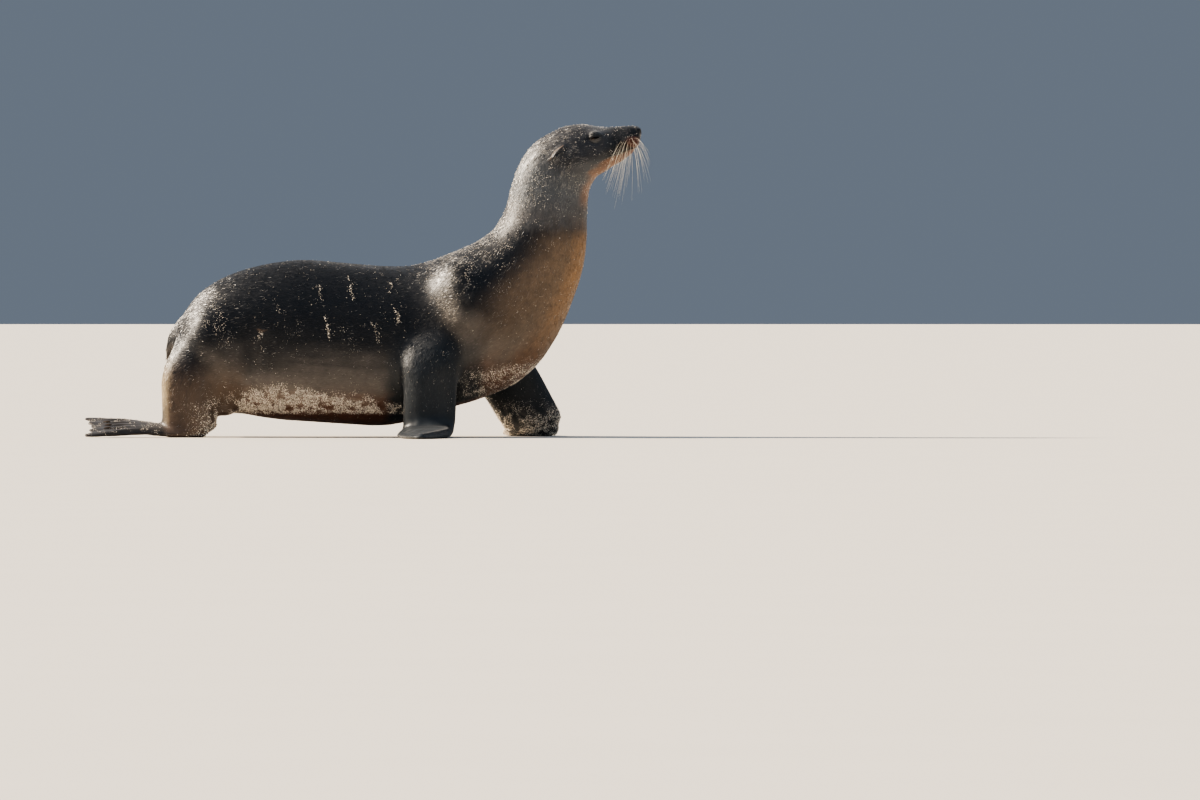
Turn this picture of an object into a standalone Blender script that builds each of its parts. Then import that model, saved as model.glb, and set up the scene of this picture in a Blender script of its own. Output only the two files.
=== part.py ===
"""A life-size sea lion walking on sand, head raised, as a museum model.

The animal faces +X, its left side is +Y, and it stands on the plane z = 0 with the middle of its
bounding box over the origin. Trunk, neck and head are one loft of sections along the spine, and the
limbs, tail and toes are lofts of their own. They are fused into one body, smoothed where they join,
flattened where they touch the floor, and then parted into named pieces with thin saw cuts.
"""

import math
from collections import namedtuple

import bmesh
import bpy
import numpy as np
from mathutils import Matrix, Vector

# ---------------------------------------------------------------- driving dimensions, metres
KERF = 0.0005            # width of a saw cut between two pieces
SEAT_GAP = 0.0003        # air between a separate piece and the flesh it sits on
VOXEL = 0.0035           # cell of the grid that fuses the masses
BODY_TRIANGLES = 4100    # faceting of the fused body, before it is parted
FINE_PRIORITY = 0.00001  # how strongly the faceting is kept fine on head, hands and feet
FLAT_ANGLE = math.radians(2)    # facets that differ by less become one
SHARP_ANGLE = math.radians(50)  # edges that turn by more are shaded as edges, such as those of a saw cut
CHIP_VOLUME = 3e-8       # loose slivers smaller than this are not pieces
SAME_POINT = 5e-6        # points nearer than this are one

EYE_RADIUS = 0.0165
HAND_LENGTH = 0.235      # wrist to tip of a front flipper
FOOT_LENGTH = 0.245      # heel to toe tips of a hind flipper
CLAW_LENGTH = 0.016

# Sections of trunk, neck and head, from the rump to the nose, in the plane y = 0: the centre's x and z,
# how far the section's top leans back from upright in degrees, half its depth, half its width, and how
# much lower than the middle it is widest.
Station = namedtuple("Station", "name x z lean depth width sag")
SPINE = [
    Station("seat", -0.368, 0.122, 44, 0.070, 0.060, 0.00),
    Station("rump", -0.362, 0.143, 33, 0.101, 0.086, 0.00),
    Station("croup", -0.351, 0.160, 25, 0.120, 0.096, 0.02),
    Station("hips", -0.330, 0.187, 15, 0.139, 0.106, 0.04),
    Station("loin", -0.291, 0.206, 7, 0.154, 0.113, 0.06),
    Station("waist", -0.228, 0.214, 3, 0.171, 0.119, 0.08),
    Station("belly", -0.135, 0.217, 0, 0.183, 0.124, 0.10),
    Station("mid_back", -0.040, 0.211, 2, 0.183, 0.127, 0.10),
    Station("last_rib", 0.064, 0.206, 2, 0.180, 0.132, 0.08),
    Station("ribs", 0.124, 0.214, 4, 0.173, 0.137, 0.06),
    Station("armpit", 0.174, 0.229, 7, 0.168, 0.145, 0.03),
    Station("brisket", 0.236, 0.249, 12, 0.168, 0.150, 0.00),
    Station("shoulder", 0.296, 0.275, 19, 0.164, 0.146, -0.02),
    Station("breast", 0.343, 0.312, 27, 0.152, 0.133, -0.02),
    Station("neck_root", 0.377, 0.356, 35, 0.135, 0.117, 0.00),
    Station("low_neck", 0.399, 0.402, 43, 0.122, 0.102, 0.00),
    Station("mid_neck", 0.415, 0.448, 54, 0.110, 0.092, 0.00),
    Station("high_neck", 0.422, 0.492, 64, 0.100, 0.084, 0.00),
    Station("throat", 0.426, 0.533, 72, 0.091, 0.078, 0.00),
    Station("nape", 0.431, 0.567, 76, 0.087, 0.074, 0.02),
    Station("atlas", 0.440, 0.592, 71, 0.085, 0.072, 0.05),
    Station("occiput", 0.453, 0.613, 65, 0.083, 0.071, 0.08),
    Station("ears", 0.471, 0.630, 56, 0.078, 0.069, 0.10),
    Station("crown", 0.493, 0.642, 46, 0.072, 0.065, 0.12),
    Station("temples", 0.516, 0.651, 37, 0.066, 0.058, 0.14),
    Station("eyes", 0.537, 0.655, 30, 0.057, 0.049, 0.16),
    Station("cheeks", 0.559, 0.656, 24, 0.047, 0.041, 0.18),
    Station("muzzle", 0.579, 0.659, 17, 0.041, 0.035, 0.18),
    Station("whiskers", 0.597, 0.665, 9, 0.036, 0.032, 0.14),
    Station("lips", 0.613, 0.671, 2, 0.031, 0.028, 0.08),
    Station("nose", 0.624, 0.675, -3, 0.024, 0.022, 0.00),
]
NOSE_DOME = 0.010        # how far the nose rounds out past its last section
SEAT_DOME = 0.045        # the same at the rump

# Rounded masses laid over the lofts, each made once for either side: centre x, y, z and radii.
MASSES = {
    "shoulder_blade": ((0.235, 0.086, 0.285), (0.095, 0.073, 0.115)),
    "knee_fold": ((-0.303, 0.055, 0.061), (0.028, 0.018, 0.018)),
    "haunch": ((-0.318, 0.062, 0.205), (0.082, 0.055, 0.098)),
    "jowl": ((0.500, 0.030, 0.615), (0.044, 0.033, 0.032)),
    "lids": ((0.5275, 0.0322, 0.6712), (0.0225, 0.0196, 0.0190)),
    "whisker_pad": ((0.603, 0.0185, 0.6625), (0.026, 0.0195, 0.0175)),
}
NOSE_PAD = ((0.622, 0.0, 0.6895), (0.013, 0.0165, 0.0115))
CHIN = ((0.593, 0.0, 0.643), (0.025, 0.020, 0.012))

EYE_CENTRE = Vector((0.5275, 0.0315, 0.6715))   # left eye, the right one is its mirror image
EYE_OPENING = (0.0125, 0.0120, 0.0034)          # half sizes of the slit between the lids
EYE_SLANT = 14                                  # how much the slit's rear end is lower, in degrees
SLIT_OUT = 0.002                                # how far the slit's middle lies outside the eyeball
EAR_ROOT = Vector((0.4600, 0.0590, 0.6560))
EAR_TIP = Vector((0.4285, 0.0750, 0.6230))

RIGHT, LEFT = -1, 1
SIDE_NAMES = {RIGHT: "right", LEFT: "left"}

# Sections of each front limb, from shoulder to wrist: x, distance from the middle plane, z, how far the
# front end of the chord is raised in degrees, half chord and half thickness.
Joint = namedtuple("Joint", "x y z raise_front chord thick")
ARMS = {
    RIGHT: [
        Joint(0.194, 0.086, 0.262, 0, 0.080, 0.050),
        Joint(0.163, 0.134, 0.168, 0, 0.069, 0.040),
        Joint(0.159, 0.148, 0.090, 0, 0.0625, 0.031),
        Joint(0.158, 0.154, 0.030, 0, 0.0620, 0.027),
    ],
    LEFT: [
        Joint(0.255, 0.086, 0.262, 25, 0.080, 0.050),
        Joint(0.318, 0.130, 0.155, 35, 0.074, 0.040),
        Joint(0.361, 0.146, 0.082, 31, 0.0690, 0.031),
        Joint(0.389, 0.154, 0.032, 12, 0.0690, 0.028),
    ],
}
HAND_SWEEP = {RIGHT: 12, LEFT: 10}   # how far the hands are swept back from straight out, in degrees

# The hind limbs in the same way, and how far each foot is turned out from straight back and rolled.
LEGS = {
    RIGHT: [
        Joint(-0.340, 0.050, 0.222, 10, 0.082, 0.046),
        Joint(-0.373, 0.068, 0.148, 4, 0.072, 0.044),
        Joint(-0.383, 0.072, 0.070, 0, 0.062, 0.037),
        Joint(-0.383, 0.073, 0.022, 0, 0.061, 0.034),
    ],
    LEFT: [
        Joint(-0.340, 0.050, 0.222, 10, 0.082, 0.046),
        Joint(-0.372, 0.070, 0.148, 4, 0.072, 0.044),
        Joint(-0.383, 0.076, 0.070, 0, 0.062, 0.037),
        Joint(-0.382, 0.077, 0.022, 0, 0.060, 0.034),
    ],
}
TOE_OUT = {RIGHT: 8, LEFT: 74}
FOOT_ROLL = {RIGHT: 20, LEFT: 0}

# Where the trunk is sawn apart: x and z of a point of the cut, and how far it is turned up from straight
# ahead, in degrees.
SAW_CUTS = {
    "head": (0.437, 0.582, 73),
    "neck": (0.399, 0.402, 43),
    "chest": (0.100, 0.210, 4),
    "trunk": (-0.262, 0.210, 5),
}
HAND_CUT = 0.037                     # how far out from the wrist a fore flipper is sawn off
FOOT_CUT = {RIGHT: 0.068, LEFT: 0.046}   # the same from each ankle
TAIL_ROOM = 0.003                    # how much wider than the tail the cut round its root is
# Side outline of the lower jaw: along the mouth line and down to the throat behind the corner.
JAW_OUTLINE = [(0.660, 0.661), (0.6255, 0.6535), (0.607, 0.648), (0.5895, 0.641), (0.5625, 0.629),
               (0.5400, 0.617), (0.5290, 0.600), (0.5180, 0.540), (0.660, 0.540)]
JAW_HALF_WIDTH = 0.12                # more than the head's, so that the cut goes right through

# ---------------------------------------------------------------- materials


def material(name, colour, roughness):
    made = bpy.data.materials.new(name)
    made.use_nodes = True
    shader = made.node_tree.nodes["Principled BSDF"]
    shader.inputs["Base Color"].default_value = (*colour, 1.0)
    shader.inputs["Roughness"].default_value = roughness
    shader.inputs["Metallic"].default_value = 0.0
    made.diffuse_color = (*colour, 1.0)
    return made


COAT_DARK = (0.045, 0.038, 0.036)
COAT_BROWN = (0.110, 0.075, 0.052)
FLIPPER_BLACK = (0.022, 0.022, 0.026)
CLAW_HORN = (0.050, 0.042, 0.036)
EYE_BLACK = (0.008, 0.006, 0.005)

# ---------------------------------------------------------------- sections and lofts


# What the numbers of a section are.
CENTRE, ACROSS, UP = slice(0, 3), slice(3, 6), slice(6, 9)
SAG, TAPER, SQUARE = 9, 10, 11


def section(centre, across, up, sag=0.0, taper=0.0, square=2.0):
    """One slice of a loft: a closed curve spanned by `across` and `up` round a centre."""
    return np.array([*centre, *across, *up, sag, taper, square], float)


def resampled(sections, count):
    """`count` rows on a smooth curve through the sections, evenly spaced along them."""
    rows = np.array(sections)
    tops = rows[:, CENTRE] + rows[:, UP]
    floors = rows[:, CENTRE] - rows[:, UP]
    steps = np.maximum(
        np.linalg.norm(np.diff(tops, axis=0), axis=1), np.linalg.norm(np.diff(floors, axis=0), axis=1)
    )
    at = np.concatenate([[0.0], np.cumsum(np.maximum(steps, SAME_POINT))])
    slope = np.gradient(rows, at, axis=0)
    wanted = np.linspace(0.0, at[-1], count)
    left = np.clip(np.searchsorted(at, wanted, side="right") - 1, 0, len(at) - 2)
    width = (at[left + 1] - at[left])[:, None]
    t = ((wanted - at[left])[:, None]) / width
    return (
        (2 * t**3 - 3 * t**2 + 1) * rows[left]
        + (t**3 - 2 * t**2 + t) * width * slope[left]
        + (3 * t**2 - 2 * t**3) * rows[left + 1]
        + (t**3 - t**2) * width * slope[left + 1]
    )


def ring_points(row, count):
    """Points round one section. `sag` makes it widest below its middle, and `taper` thicker at +across."""
    angle = np.arange(count) * 2 * math.pi / count
    side, top = np.sin(angle), np.cos(angle)
    power = 2 / row[SQUARE]
    side_reach = np.sign(side) * np.abs(side) ** power * (1 - row[SAG] * top)
    top_reach = np.sign(top) * np.abs(top) ** power * (1 + row[TAPER] * side)
    return row[CENTRE] + side_reach[:, None] * row[ACROSS] + top_reach[:, None] * row[UP]


def domed(rows, bulge, at_end, rings):
    """Adds shrinking rings, so that the loft ends in a dome and not in a flat face."""
    last, before = (rows[-1], rows[-2]) if at_end else (rows[0], rows[1])
    outward = last[CENTRE] - before[CENTRE]
    outward = outward / np.linalg.norm(outward)
    cap = []
    for turn in np.linspace(0, math.pi / 2, rings + 1)[1:-1]:
        row = last.copy()
        row[CENTRE] = last[CENTRE] + outward * bulge * math.sin(turn)
        row[ACROSS] = last[ACROSS] * math.cos(turn)
        row[UP] = last[UP] * math.cos(turn)
        cap.append(row)
    tip = last[CENTRE] + outward * bulge
    return (np.vstack([rows, cap]) if at_end else np.vstack([cap[::-1], rows])), tip


def loft(name, sections, rings, points, domes, dome_rings=5):
    """A closed tube through the sections. `domes` is how far it rounds out past its first and last one."""
    rows = resampled(sections, rings)
    rows, start_tip = domed(rows, domes[0], False, dome_rings)
    rows, end_tip = domed(rows, domes[1], True, dome_rings)
    mesh = bmesh.new()
    loops = [[mesh.verts.new(p) for p in ring_points(row, points)] for row in rows]
    for one, two in zip(loops, loops[1:]):
        for i in range(points):
            mesh.faces.new((one[i - 1], one[i], two[i], two[i - 1]))
    for loop, tip in ((loops[0], start_tip), (loops[-1], end_tip)):
        pole = mesh.verts.new(tip)
        for i in range(points):
            mesh.faces.new((loop[i - 1], loop[i], pole))
    bmesh.ops.recalc_face_normals(mesh, faces=mesh.faces)
    return new_object(name, mesh)


def ellipsoid(name, centre, radii, columns=24, rows=16):
    mesh = bmesh.new()
    bmesh.ops.create_uvsphere(mesh, u_segments=columns, v_segments=rows, radius=1.0)
    bmesh.ops.scale(mesh, vec=radii, verts=mesh.verts)
    bmesh.ops.translate(mesh, vec=centre, verts=mesh.verts)
    return new_object(name, mesh)


def new_object(name, mesh, collection=None):
    data = bpy.data.meshes.new(name)
    mesh.to_mesh(data)
    mesh.free()
    made = bpy.data.objects.new(name, data)
    (collection or bpy.context.scene.collection).objects.link(made)
    return made


# ---------------------------------------------------------------- the masses of the body


def spine_section(station):
    lean = math.radians(station.lean)
    up = Vector((-math.sin(lean), 0, math.cos(lean))) * station.depth
    return section((station.x, 0, station.z), (0, station.width, 0), up, station.sag, square=2.15)


def make_spine():
    sections = [spine_section(station) for station in SPINE]
    return loft("spine", sections, rings=110, points=40, domes=(SEAT_DOME, NOSE_DOME))


def limb_section(centre, chord, normal, half_chord, half_thick, taper=0.0, square=2.2):
    chord, normal = Vector(chord).normalized(), Vector(normal).normalized()
    return section(centre, chord * half_chord, normal * half_thick, taper=taper, square=square)


def joint_section(side, joint, grow=0.0, square=2.2):
    lift = math.radians(joint.raise_front)
    centre = (joint.x, side * joint.y, joint.z)
    chord = (math.cos(lift), 0, math.sin(lift))
    return limb_section(centre, chord, (0, side, 0), joint.chord + grow, joint.thick + grow, square=square)


def make_arm(side):
    sections = [joint_section(side, joint) for joint in ARMS[side]]
    return loft(f"arm_{SIDE_NAMES[side]}", sections, rings=22, points=28, domes=(0.030, 0.020))


def make_leg(side):
    sections = [joint_section(side, joint) for joint in LEGS[side]]
    return loft(f"leg_{SIDE_NAMES[side]}", sections, rings=20, points=28, domes=(0.030, 0.016))


WRIST_OVERLAP = 0.004    # how far the hand starts inside the wrist's middle


def hand_frame(side):
    """Wrist point on the floor, the way the fingers point and the way the leading edge faces."""
    sweep, wrist = math.radians(HAND_SWEEP[side]), ARMS[side][-1]
    fingers = Vector((-math.sin(sweep), side * math.cos(sweep), 0))
    leading = Vector((math.cos(sweep), side * math.sin(sweep), 0))
    return Vector((wrist.x, side * (wrist.y - WRIST_OVERLAP), 0)), fingers, leading


# The front flipper beyond the wrist: share of its length, half its chord and half its thickness.
HAND = [(0.00, 0.060, 0.0240), (0.12, 0.063, 0.0165), (0.30, 0.061, 0.0110), (0.52, 0.052, 0.0085),
        (0.72, 0.040, 0.0072), (0.88, 0.027, 0.0060), (0.97, 0.016, 0.0045)]
HAND_LEAD = 0.60         # how much of the lost chord is lost at the trailing edge
HAND_TAPER = 0.20        # how much thicker the leading edge is than the middle
# Height of a flipper's middle in half thicknesses: under 1, so that the floor cuts it a flat underside.
FLAT_RISE = 0.85
# Its five fingers, from the leading to the trailing edge: where each starts across the wrist as a share
# of the half chord, where its tip lies along and across the flipper, and half its thickness at the root.
FINGERS = [(0.78, 0.95, 0.52, 0.0135), (0.40, 0.80, 0.02, 0.0095), (0.05, 0.66, -0.40, 0.0085),
           (-0.28, 0.50, -0.67, 0.0080), (-0.60, 0.33, -0.88, 0.0080)]
FINGER_STEPS = (0.08, 0.40, 0.75, 1.0)   # shares of the finger's length where it has a section
FINGER_THINNING = 0.45   # how much of a finger's thickness is gone at its tip
FINGER_WIDTH = 1.10      # its width over its thickness
FINGER_RISE = 1.05       # height of its middle in half thicknesses


def make_hand(side):
    wrist, fingers, leading = hand_frame(side)
    widest = HAND[1][1]
    sections = []
    for share, half_chord, half_thick in HAND:
        centre = wrist + fingers * HAND_LENGTH * share + leading * (widest - half_chord) * HAND_LEAD
        centre.z = half_thick * FLAT_RISE
        sections.append(limb_section(centre, leading, (0, 0, 1), half_chord, half_thick, HAND_TAPER))
    pieces = [loft(f"hand_{SIDE_NAMES[side]}", sections, rings=26, points=28, domes=(0.012, 0.007))]
    for number, (root, reach, tip, thick) in enumerate(FINGERS):
        start = wrist + leading * root * widest
        end = wrist + fingers * HAND_LENGTH * reach + leading * tip * widest
        way = (end - start).normalized()
        sections = []
        for share in FINGER_STEPS:
            half = thick * (1 - FINGER_THINNING * share)
            centre = start.lerp(end, share)
            centre.z = half * FINGER_RISE
            aside = way.cross(Vector((0, 0, 1)))
            sections.append(limb_section(centre, aside, (0, 0, 1), half * FINGER_WIDTH, half))
        name = f"finger_{SIDE_NAMES[side]}_{number}"
        pieces.append(loft(name, sections, rings=14, points=12, domes=(0.006, 0.006)))
    return pieces


def foot_frame(side):
    """Ankle point on the floor, the way the toes point, the foot's inner side and its tilted up."""
    turn, roll, ankle = math.radians(TOE_OUT[side]), math.radians(FOOT_ROLL[side]), LEGS[side][-1]
    toes = Vector((-math.cos(turn), side * math.sin(turn), 0))
    flat_inner = Vector((-math.sin(turn), -side * math.cos(turn), 0))
    inner = flat_inner * math.cos(roll) + Vector((0, 0, math.sin(roll)))
    up = Vector((0, 0, math.cos(roll))) - flat_inner * math.sin(roll)
    return Vector((ankle.x, side * ankle.y, 0)), toes, inner, up


# The hind flipper before the toes part: share of the foot's length, half its width, half its thickness.
SOLE = [(-0.10, 0.030, 0.0180), (0.05, 0.036, 0.0140), (0.20, 0.036, 0.0098), (0.38, 0.040, 0.0086),
        (0.56, 0.048, 0.0078), (0.72, 0.053, 0.0058), (0.82, 0.050, 0.0045)]
# The five toes from the inner to the outer one: length as a share of the foot's, and fan angle.
TOES = [(0.97, 12.5), (0.93, 6), (0.91, 0), (0.94, -6), (1.01, -12.5)]
TOE_ROOT = 0.42          # where on the foot the toes start to show
TOE_HEIGHT = 0.0072      # height of a toe's middle over the foot's lower plane
TOE_SHAPE = [(0.0, 0.0085, 0.0090), (0.3, 0.0100, 0.0085), (0.62, 0.0115, 0.0068), (0.85, 0.0130, 0.0052),
             (0.97, 0.0110, 0.0042)]   # share of its length, half its width and half its thickness
CLAWED_TOES = (1, 2, 3)
CLAW_SHARE = 0.60        # where on the toe the claw starts
ROLLED_HALF_WIDTH = 0.050    # a rolled foot turns about its outer edge, this far from its middle
ROLL_SHARE = 0.45        # share of the foot's length over which the roll comes in


def foot_point(frame, along, aside, height):
    """A point of the foot. Its lower edge stays at the floor, however the foot is rolled."""
    origin, toes, inner, up = frame
    rolled = min(1.0, max(0.0, along / (ROLL_SHARE * FOOT_LENGTH)))
    lift = ROLLED_HALF_WIDTH * math.sqrt(max(0.0, 1 - up.z**2)) * rolled
    return origin + toes * along + inner * aside + up * height + Vector((0, 0, lift))


def toe_point(frame, toe, share, height):
    reach, fan = TOES[toe]
    angle = math.radians(fan)
    along = (TOE_ROOT + (reach - TOE_ROOT) * share) * FOOT_LENGTH
    return foot_point(frame, along * math.cos(angle), along * math.sin(angle), height)


def make_foot(side):
    frame = foot_frame(side)
    _, toes, inner, up = frame
    sections = [
        limb_section(foot_point(frame, share * FOOT_LENGTH, 0, thick * FLAT_RISE), inner, up, width, thick)
        for share, width, thick in SOLE
    ]
    pieces = [loft(f"sole_{SIDE_NAMES[side]}", sections, rings=24, points=24, domes=(0.018, 0.006))]
    for toe, (_, fan) in enumerate(TOES):
        angle = math.radians(fan)
        aside = inner * math.cos(angle) - toes * math.sin(angle)
        sections = [
            limb_section(toe_point(frame, toe, share, TOE_HEIGHT), aside, up, width, thick)
            for share, width, thick in TOE_SHAPE
        ]
        name = f"toe_{SIDE_NAMES[side]}_{toe}"
        pieces.append(loft(name, sections, rings=16, points=14, domes=(0.006, 0.007)))
    return pieces


TAIL_ROOT, TAIL_TIP = Vector((-0.392, 0, 0.268)), Vector((-0.4325, 0, 0.172))
TAIL_FACE = (-0.93, 0, 0.36)     # the way its flat side looks
TAIL_BOW = Vector((-0.009, 0, 0.003))   # how far its middle stands off the straight line
# Share of the tail's length, half its width and half its thickness.
TAIL = [(0.0, 0.024, 0.016), (0.35, 0.021, 0.014), (0.7, 0.016, 0.011), (0.95, 0.010, 0.008)]


def make_tail(grow=0.0, rings=14, points=16):
    """A short flat tail that hangs down the rump."""
    sections = []
    for share, width, thick in TAIL:
        centre = TAIL_ROOT.lerp(TAIL_TIP, share) + TAIL_BOW * math.sin(math.pi * share)
        sections.append(limb_section(centre, (0, 1, 0), TAIL_FACE, width + grow, thick + grow))
    return loft("tail_mass", sections, rings, points, domes=(0.010 + grow, 0.008 + grow))


def make_masses():
    pieces = [make_spine(), make_tail()]
    for side in SIDE_NAMES:
        pieces += [make_arm(side), make_leg(side), *make_hand(side), *make_foot(side)]
        for name, ((x, y, z), radii) in MASSES.items():
            pieces.append(ellipsoid(f"{name}_{SIDE_NAMES[side]}", (x, side * y, z), radii))
    pieces.append(ellipsoid("nose_pad", *NOSE_PAD))
    pieces.append(ellipsoid("chin", *CHIN))
    return pieces


# ---------------------------------------------------------------- fusing, smoothing, faceting


def joined(pieces, name):
    mesh = bmesh.new()
    for piece in pieces:
        mesh.from_mesh(piece.data)
        data = piece.data
        bpy.data.objects.remove(piece)
        bpy.data.meshes.remove(data)
    return new_object(name, mesh)


def apply_modifiers(obj):
    """Replaces the object's mesh by what its modifiers make of it."""
    graph = bpy.context.evaluated_depsgraph_get()
    graph.update()
    data = bpy.data.meshes.new_from_object(obj.evaluated_get(graph))
    obj.modifiers.clear()
    obj.data = data


def add_modifier(obj, kind, **settings):
    modifier = obj.modifiers.new(kind.title(), kind)
    for name, value in settings.items():
        setattr(modifier, name, value)
    return modifier


FADE = 1.6               # how steeply a spot's weight falls off towards its rim


def falloff(points, spots):
    """For each point, 1 near a spot's centre and 0 at its radius, whichever spot is strongest."""
    weight = np.zeros(len(points))
    for centre, radius in spots:
        near = 1 - np.linalg.norm(points - np.array(centre), axis=1) / radius
        weight = np.maximum(weight, np.clip(near * FADE, 0, 1))
    return weight


def weigh(obj, name, weights):
    group = obj.vertex_groups.new(name=name)
    for level in np.unique(np.round(weights, 1)):
        members = np.flatnonzero(np.round(weights, 1) == level)
        group.add([int(i) for i in members], float(level), "REPLACE")


def points_of(obj):
    flat = np.empty(len(obj.data.vertices) * 3)
    obj.data.vertices.foreach_get("co", flat)
    return flat.reshape(-1, 3)


def join_spots():
    """Where limbs and tail run into the body, each with the reach of its blend."""
    spots = [((-0.400, 0, 0.268), 0.05)]
    for side in SIDE_NAMES:
        shoulder, elbow, _, wrist = ARMS[side]
        hip, knee = LEGS[side][:2]
        spots.append(((shoulder.x, side * 0.13, shoulder.z + 0.03), 0.17))
        spots.append(((elbow.x, side * 0.12, elbow.z), 0.13))
        spots.append(((wrist.x, side * (wrist.y + 0.02), 0.03), 0.06))
        spots.append(((hip.x, side * 0.08, hip.z), 0.15))
        spots.append(((knee.x + 0.05, side * 0.06, knee.z - 0.02), 0.10))
    return spots


def fine_spots():
    """Where the faceting has to stay fine: head, feet and hands, each with its radius."""
    spots = [((0.590, 0, 0.660), 0.11), ((0.520, 0, 0.650), 0.13), ((0.46, 0, 0.64), 0.10)]
    for side in SIDE_NAMES:
        origin, toes, _, _ = foot_frame(side)
        spots.append((origin + toes * FOOT_LENGTH * 0.85, 0.08))
        wrist, fingers, _ = hand_frame(side)
        spots.append((wrist + fingers * HAND_LENGTH * 0.7, 0.10))
    return spots


def fuse_body():
    body = joined(make_masses(), "body")
    add_modifier(body, "REMESH", mode="VOXEL", voxel_size=VOXEL, use_smooth_shade=True)
    apply_modifiers(body)
    add_modifier(body, "SMOOTH", factor=0.5, iterations=6)
    weigh(body, "joins", falloff(points_of(body), join_spots()))
    add_modifier(body, "SMOOTH", factor=0.5, iterations=160, vertex_group="joins")
    apply_modifiers(body)
    return body


NEAR_CUT = 1e-6          # points this near a cut lie on it


def cut_floor(obj):
    """Slices off what lies under the floor, which leaves the flat soles that the animal stands on."""
    mesh = bmesh.new()
    mesh.from_mesh(obj.data)
    geometry = [*mesh.verts, *mesh.edges, *mesh.faces]
    bmesh.ops.bisect_plane(
        mesh, geom=geometry, plane_co=(0, 0, 0), plane_no=(0, 0, -1), clear_outer=True, dist=NEAR_CUT
    )
    rim = [edge for edge in mesh.edges if edge.is_boundary]
    bmesh.ops.edgeloop_fill(mesh, edges=rim)
    bmesh.ops.recalc_face_normals(mesh, faces=mesh.faces)
    bmesh.ops.triangulate(mesh, faces=[f for f in mesh.faces if len(f.verts) > 4])
    mesh.to_mesh(obj.data)
    mesh.free()


MOST_FINE = 0.8          # a weight of 1 would not be faceted at all


def facet(body):
    weigh(body, "fine", MOST_FINE * falloff(points_of(body), fine_spots()))
    faces = sum(len(p.vertices) - 2 for p in body.data.polygons)
    add_modifier(
        body,
        "DECIMATE",
        decimate_type="COLLAPSE",
        ratio=BODY_TRIANGLES / faces,
        vertex_group="fine",
        invert_vertex_group=True,
        vertex_group_factor=FINE_PRIORITY,
        use_collapse_triangulate=True,
    )
    apply_modifiers(body)
    body.vertex_groups.clear()


# ---------------------------------------------------------------- parting


def boolean(obj, cutter, operation):
    """Applies one Boolean. The cutter stays in the scene, among the cutters."""
    add_modifier(obj, "BOOLEAN", operation=operation, object=cutter)
    apply_modifiers(obj)


def copy_of(obj, name):
    copied = bpy.data.objects.new(name, obj.data.copy())
    bpy.context.scene.collection.objects.link(copied)
    return copied


def hide_cutter(obj):
    for collection in obj.users_collection:
        collection.objects.unlink(obj)
    bpy.data.collections["cutters"].objects.link(obj)
    obj.display_type = "WIRE"
    obj.hide_render = True


def take_out(body, name, inner, outer):
    """Parts off what of the body lies in `inner`, and opens a saw cut round it with `outer`."""
    piece = copy_of(body, name)
    boolean(piece, inner, "INTERSECT")
    boolean(body, outer, "DIFFERENCE")
    hide_cutter(inner)
    hide_cutter(outer)
    return piece


NEAR_SAW = 2e-5          # the same for a saw cut, which leaves no slivers


def keep_side(obj, point, normal):
    """Cuts the object off at a plane and closes the cut. What lies along the normal goes."""
    mesh = bmesh.new()
    mesh.from_mesh(obj.data)
    geometry = [*mesh.verts, *mesh.edges, *mesh.faces]
    bmesh.ops.bisect_plane(
        mesh, geom=geometry, plane_co=point, plane_no=normal, clear_outer=True, dist=NEAR_SAW
    )
    rim = [edge for edge in mesh.edges if edge.is_boundary]
    made = bmesh.ops.edgeloop_fill(mesh, edges=rim)["faces"]
    bmesh.ops.triangulate(mesh, faces=made)
    bmesh.ops.recalc_face_normals(mesh, faces=mesh.faces)
    mesh.to_mesh(obj.data)
    mesh.free()


def saw_off(body, name, point, normal):
    """Parts off what lies beyond a plane, leaving a saw cut's width between the two."""
    point, normal = Vector(point), Vector(normal).normalized()
    piece = copy_of(body, name)
    keep_side(piece, point + normal * KERF / 2, -normal)
    keep_side(body, point - normal * KERF / 2, normal)
    return piece


def tidy(obj):
    """Merges points that fell together and drops loose chips."""
    mesh = bmesh.new()
    mesh.from_mesh(obj.data)
    bmesh.ops.remove_doubles(mesh, verts=mesh.verts, dist=SAME_POINT)
    bmesh.ops.dissolve_degenerate(mesh, edges=mesh.edges, dist=SAME_POINT)
    bmesh.ops.dissolve_limit(mesh, angle_limit=FLAT_ANGLE, verts=mesh.verts, edges=mesh.edges)
    bmesh.ops.triangulate(mesh, faces=mesh.faces)
    left = set(mesh.verts)
    while left:
        island, edge = set(), [left.pop()]
        while edge:
            vertex = edge.pop()
            island.add(vertex)
            for link in vertex.link_edges:
                other = link.other_vert(vertex)
                if other in left:
                    left.discard(other)
                    edge.append(other)
        faces = {face for vertex in island for face in vertex.link_faces}
        volume = sum(f.verts[0].co.dot(f.verts[1].co.cross(f.verts[2].co)) for f in faces) / 6
        if abs(volume) < CHIP_VOLUME:
            bmesh.ops.delete(mesh, geom=list(island), context="VERTS")
    bmesh.ops.recalc_face_normals(mesh, faces=mesh.faces)
    mesh.to_mesh(obj.data)
    mesh.free()


# Each limb's sleeve takes the limb out of the body: its sections, with room round them.
SLEEVE_ROOM = 0.019
SLEEVE_SQUARE = 4.5      # a sleeve's sections are boxier than the limb's
SLEEVE_START = 0.60      # how far down from the limb's root to its second joint the sleeve starts
SLEEVE_DOME = 0.030
UNDER_FLOOR = -0.02


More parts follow.
